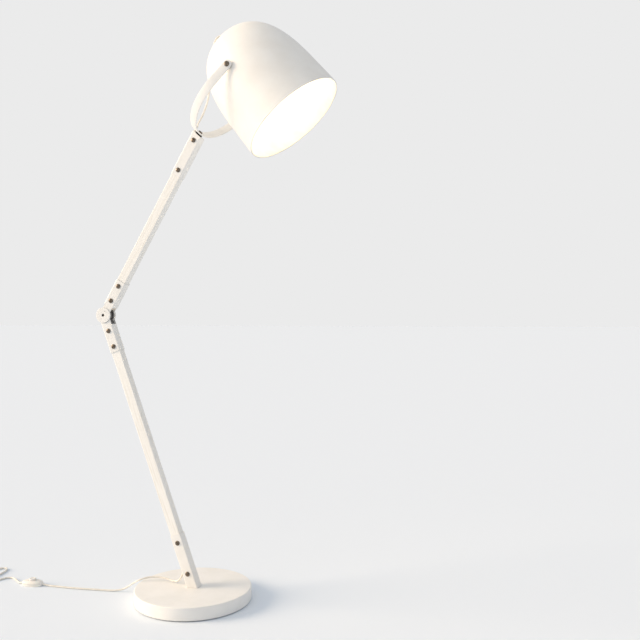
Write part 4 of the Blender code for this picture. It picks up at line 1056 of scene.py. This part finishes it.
footSwitch = {"halfLength": 0.0280, "halfWidth": 0.0145, "top": 0.0130, "button": 0.0090, "crown": 0.0178}
ovalPower = 0.82


def ovalRing(halfLength, halfWidth, height, steps=96):
    # a superellipse at one height: half size times the cosine or sine, each raised to the oval's power
    turn = np.linspace(0.0, 2 * pi, steps, endpoint=False)
    x = np.sign(np.cos(turn)) * np.abs(np.cos(turn)) ** ovalPower * halfLength
    y = np.sign(np.sin(turn)) * np.abs(np.sin(turn)) ** ovalPower * halfWidth
    return np.stack([x, y, np.full(steps, height)], axis=1)


def onFloor(points, spot):
    # turned about z by the spot's angle, then moved to its place
    c, s = cos(spot["turn"]), sin(spot["turn"])
    x = points[:, 0] * c - points[:, 1] * s + spot["place"][0]
    y = points[:, 0] * s + points[:, 1] * c + spot["place"][1]
    return np.stack([x, y, points[:, 2]], axis=1)


a, b, top = footSwitch["halfLength"], footSwitch["halfWidth"], footSwitch["top"]
trayLine = [(1.0, 0.0, 0.0), (0.97, 0.0, 0.0002), (1.0, 0.0, 0.0010), (1.0, 0.0, 0.0050), (0.97, 0.0, 0.0051)]
lowerShell = softened(trayLine, 0.0004, 3)[1:]
tray = np.array([ovalRing(a * size, b * size, z) for size, _, z in lowerShell])
points, faces = gridSurface(tray)
trayMesh = newMesh("switchTray", onFloor(points, switchSpot), faces)
addPiece("switchTray", trayMesh, mouldedAbs, "base", ["switch_base"])

well = footSwitch["button"] + 0.0004
coverRings = [ovalRing(a * 0.975, b * 0.965, 0.0052), ovalRing(a, b, 0.0056), ovalRing(a, b, 0.0068)]
for lift in np.linspace(0.0, 1.0, 14)[1:]:
    shrink = 1 - 0.52 * (1 - sqrt(max(1 - lift**1.7, 0.0)))
    coverRings.append(ovalRing(a * shrink, b * max(shrink, 0.72), 0.0068 + (top - 0.0068) * lift**0.85))
turn = np.linspace(0.0, 2 * pi, 96, endpoint=False)
wellLine = [(well + 0.0006, top + 0.0001), (well + 0.0001, top - 0.0002), (well, top - 0.0006), (well, 0.0078)]
for radius, height in wellLine:
    coverRings.append(np.stack([radius * np.cos(turn), radius * np.sin(turn), np.full(96, height)], axis=1))
points, faces = gridSurface(np.array(coverRings))
coverMesh = newMesh("switchCover", onFloor(points, switchSpot), faces)
addPiece("switchCover", coverMesh, mouldedAbs, "base", ["switch_cover"])

crown = footSwitch["crown"]
r = footSwitch["button"]
button = [
    (0.0, 0.0106),
    (r, 0.0106),
    (r, crown - 0.0010),
    (r - 0.0012, crown),
    (r - 0.0030, crown - 0.0001),
    (r - 0.0036, crown - 0.0006),
    (0.0, crown - 0.0009),
]
points, faces = turnedSurface(softened(button, 0.0006), 72)
buttonMesh = newMesh("switchButton", onFloor(points, switchSpot), faces)
addPiece("switchButton", buttonMesh, mouldedAbs, "foot_button", ["switch_button"])
print("foot switch made")


# plug

plug = {"place": (-0.6131, -0.0752), "turn": radians(-33.0), "length": 0.0360, "width": 0.0330, "height": 0.0140}


def plugRings():
    # rounded rectangles along x: a narrow grip that swells to a full front, with four finger grooves.
    # Each is a superellipse: half size times the cosine or sine, raised to 0.55
    share = np.linspace(0.0, 1.0, 60)
    swell = np.clip((share - 0.10) / 0.55, 0.0, 1.0)
    swell = swell * swell * (3 - 2 * swell)
    backRound = 0.16 * np.clip((0.06 - share) / 0.06, 0.0, 1.0) ** 2
    endRound = 1 - backRound - 0.10 * np.clip((share - 0.95) / 0.05, 0.0, 1.0) ** 2
    gripped = (share > 0.10) * (share < 0.48)
    groove = 0.0006 * np.clip(np.cos(2 * pi * (share - 0.12) / 0.095), 0.0, 1.0) * gripped
    halfWidth = (0.0055 + (plug["width"] / 2 - 0.0055) * swell) * endRound - groove
    halfHeight = (0.0052 + (plug["height"] / 2 - 0.0052) * swell) * endRound - groove
    turn = np.linspace(0.0, 2 * pi, 72, endpoint=False)
    y = np.sign(np.cos(turn)) * np.abs(np.cos(turn)) ** 0.55 * halfWidth[:, None]
    z = np.sign(np.sin(turn)) * np.abs(np.sin(turn)) ** 0.55 * halfHeight[:, None] + 0.0002 + plug["height"] / 2
    x = np.repeat(((share - 0.5) * plug["length"])[:, None], 72, axis=1)
    return np.stack([x, y, z], axis=2)


points, faces = gridSurface(plugRings())
plugShell = newMesh("plugBody", onFloor(points, plug), faces)
addPiece("plugBody", plugShell, mouldedAbs, "base", ["plug_body"])
print("plug made")


# finishes of the CAD pieces that keep their own shape

keptFinishes = {
    "base_pad": nitrile,
    "foot_bolt": zincPlated,
    "lower_arm_bar": lowerAsh,
    "upper_arm_bar": upperAsh,
    "foot_sleeve": steelCoat,
    "lower_elbow_sleeve": steelCoat,
    "upper_elbow_sleeve": steelCoat,
    "top_sleeve": steelCoat,
    "elbow_knuckle": phosphated,
    "friction_washer_left": fibreBoard,
    "friction_washer_right": fibreBoard,
    "yoke_washer": fibreBoard,
    "tilt_spacer_left": phosphated,
    "tilt_spacer_right": phosphated,
    "tilt_nut_left": zincPlated,
    "tilt_nut_right": zincPlated,
    "gland_nut": zincPlated,
    "bulb_cap": zincPlated,
    "switch_contact": fibreBoard,
    "plug_pin_a": zincPlated,
    "plug_pin_b": zincPlated,
}
for node, finish in keptFinishes.items():
    for slotHere in nodes[node].material_slots:
        slotHere.material = finish
print("finishes set on", len(keptFinishes), "kept pieces")
# studio

studio = {
    "floor": "#E8EFF7",
    "backdrop": "#EBEBEB",
    "reach": 60.0,
    "brightSide": (-0.75, -0.10, 0.60),
    "dimSky": (0.455, 0.46, 0.472, 1.0),
    "brightSky": (0.73, 0.745, 0.77, 1.0),
    "key": 3.6,
    "keySpread": radians(30.0),
    "keyColour": (1.0, 0.80, 0.58),
    "keyTravel": (0.895, 0.285, -0.342),
}
reach = studio["reach"]
floorCorners = [(-reach, -reach, 0.0), (reach, -reach, 0.0), (reach, reach, 0.0), (-reach, reach, 0.0)]
floorMesh = bpy.data.meshes.new("studioFloor")
floorMesh.from_pydata(floorCorners, [], [(0, 1, 2, 3)])
floor = bpy.data.objects.new("studioFloor", floorMesh)
bpy.context.scene.collection.objects.link(floor)
floorFinish, tree, shader = newFinish("paleSeamlessPaper", studio["floor"], 0.9, Specular_IOR_Level=0.0)
floorMesh.materials.append(floorFinish)

world = bpy.data.worlds.new("softStudio")
world.use_nodes = True
bpy.context.scene.world = world
tree = world.node_tree
tree.nodes.clear()
direction = addNode(tree, "ShaderNodeTexCoord", {}).outputs["Generated"]
brightSide = Vector(studio["brightSide"]).normalized()
facing = addNode(tree, "ShaderNodeVectorMath", {"operation": "DOT_PRODUCT", 1: brightSide}, {0: direction})
whole = {"From Min": -1.0, "From Max": 1.0}
share = addNode(tree, "ShaderNodeMapRange", whole, {"Value": facing.outputs["Value"]})
spread = addNode(tree, "ShaderNodeValToRGB", {}, {"Fac": share.outputs["Result"]})
spread.color_ramp.elements[0].position = 0.0
spread.color_ramp.elements[0].color = studio["dimSky"]
spread.color_ramp.elements[1].position = 1.0
spread.color_ramp.elements[1].color = studio["brightSky"]
light = addNode(tree, "ShaderNodeBackground", {"Strength": 1.0}, {"Color": spread.outputs["Color"]})
seen = addNode(tree, "ShaderNodeBackground", {"Color": fromHex(studio["backdrop"]), "Strength": 1.0})
path = addNode(tree, "ShaderNodeLightPath", {})
sources = {0: path.outputs["Is Camera Ray"], 1: light.outputs["Background"], 2: seen.outputs["Background"]}
mix = addNode(tree, "ShaderNodeMixShader", {}, sources)
addNode(tree, "ShaderNodeOutputWorld", {}, {"Surface": mix.outputs["Shader"]})

sun = bpy.data.lights.new("softKey", "SUN")
sun.energy = studio["key"]
sun.angle = studio["keySpread"]
sun.color = studio["keyColour"]
key = bpy.data.objects.new("softKey", sun)
key.rotation_euler = Vector(studio["keyTravel"]).to_track_quat("-Z", "Y").to_euler()
bpy.context.scene.collection.objects.link(key)

bpy.context.scene.view_settings.view_transform = "Standard"
bpy.context.scene.view_settings.look = "None"
print("studio lit")
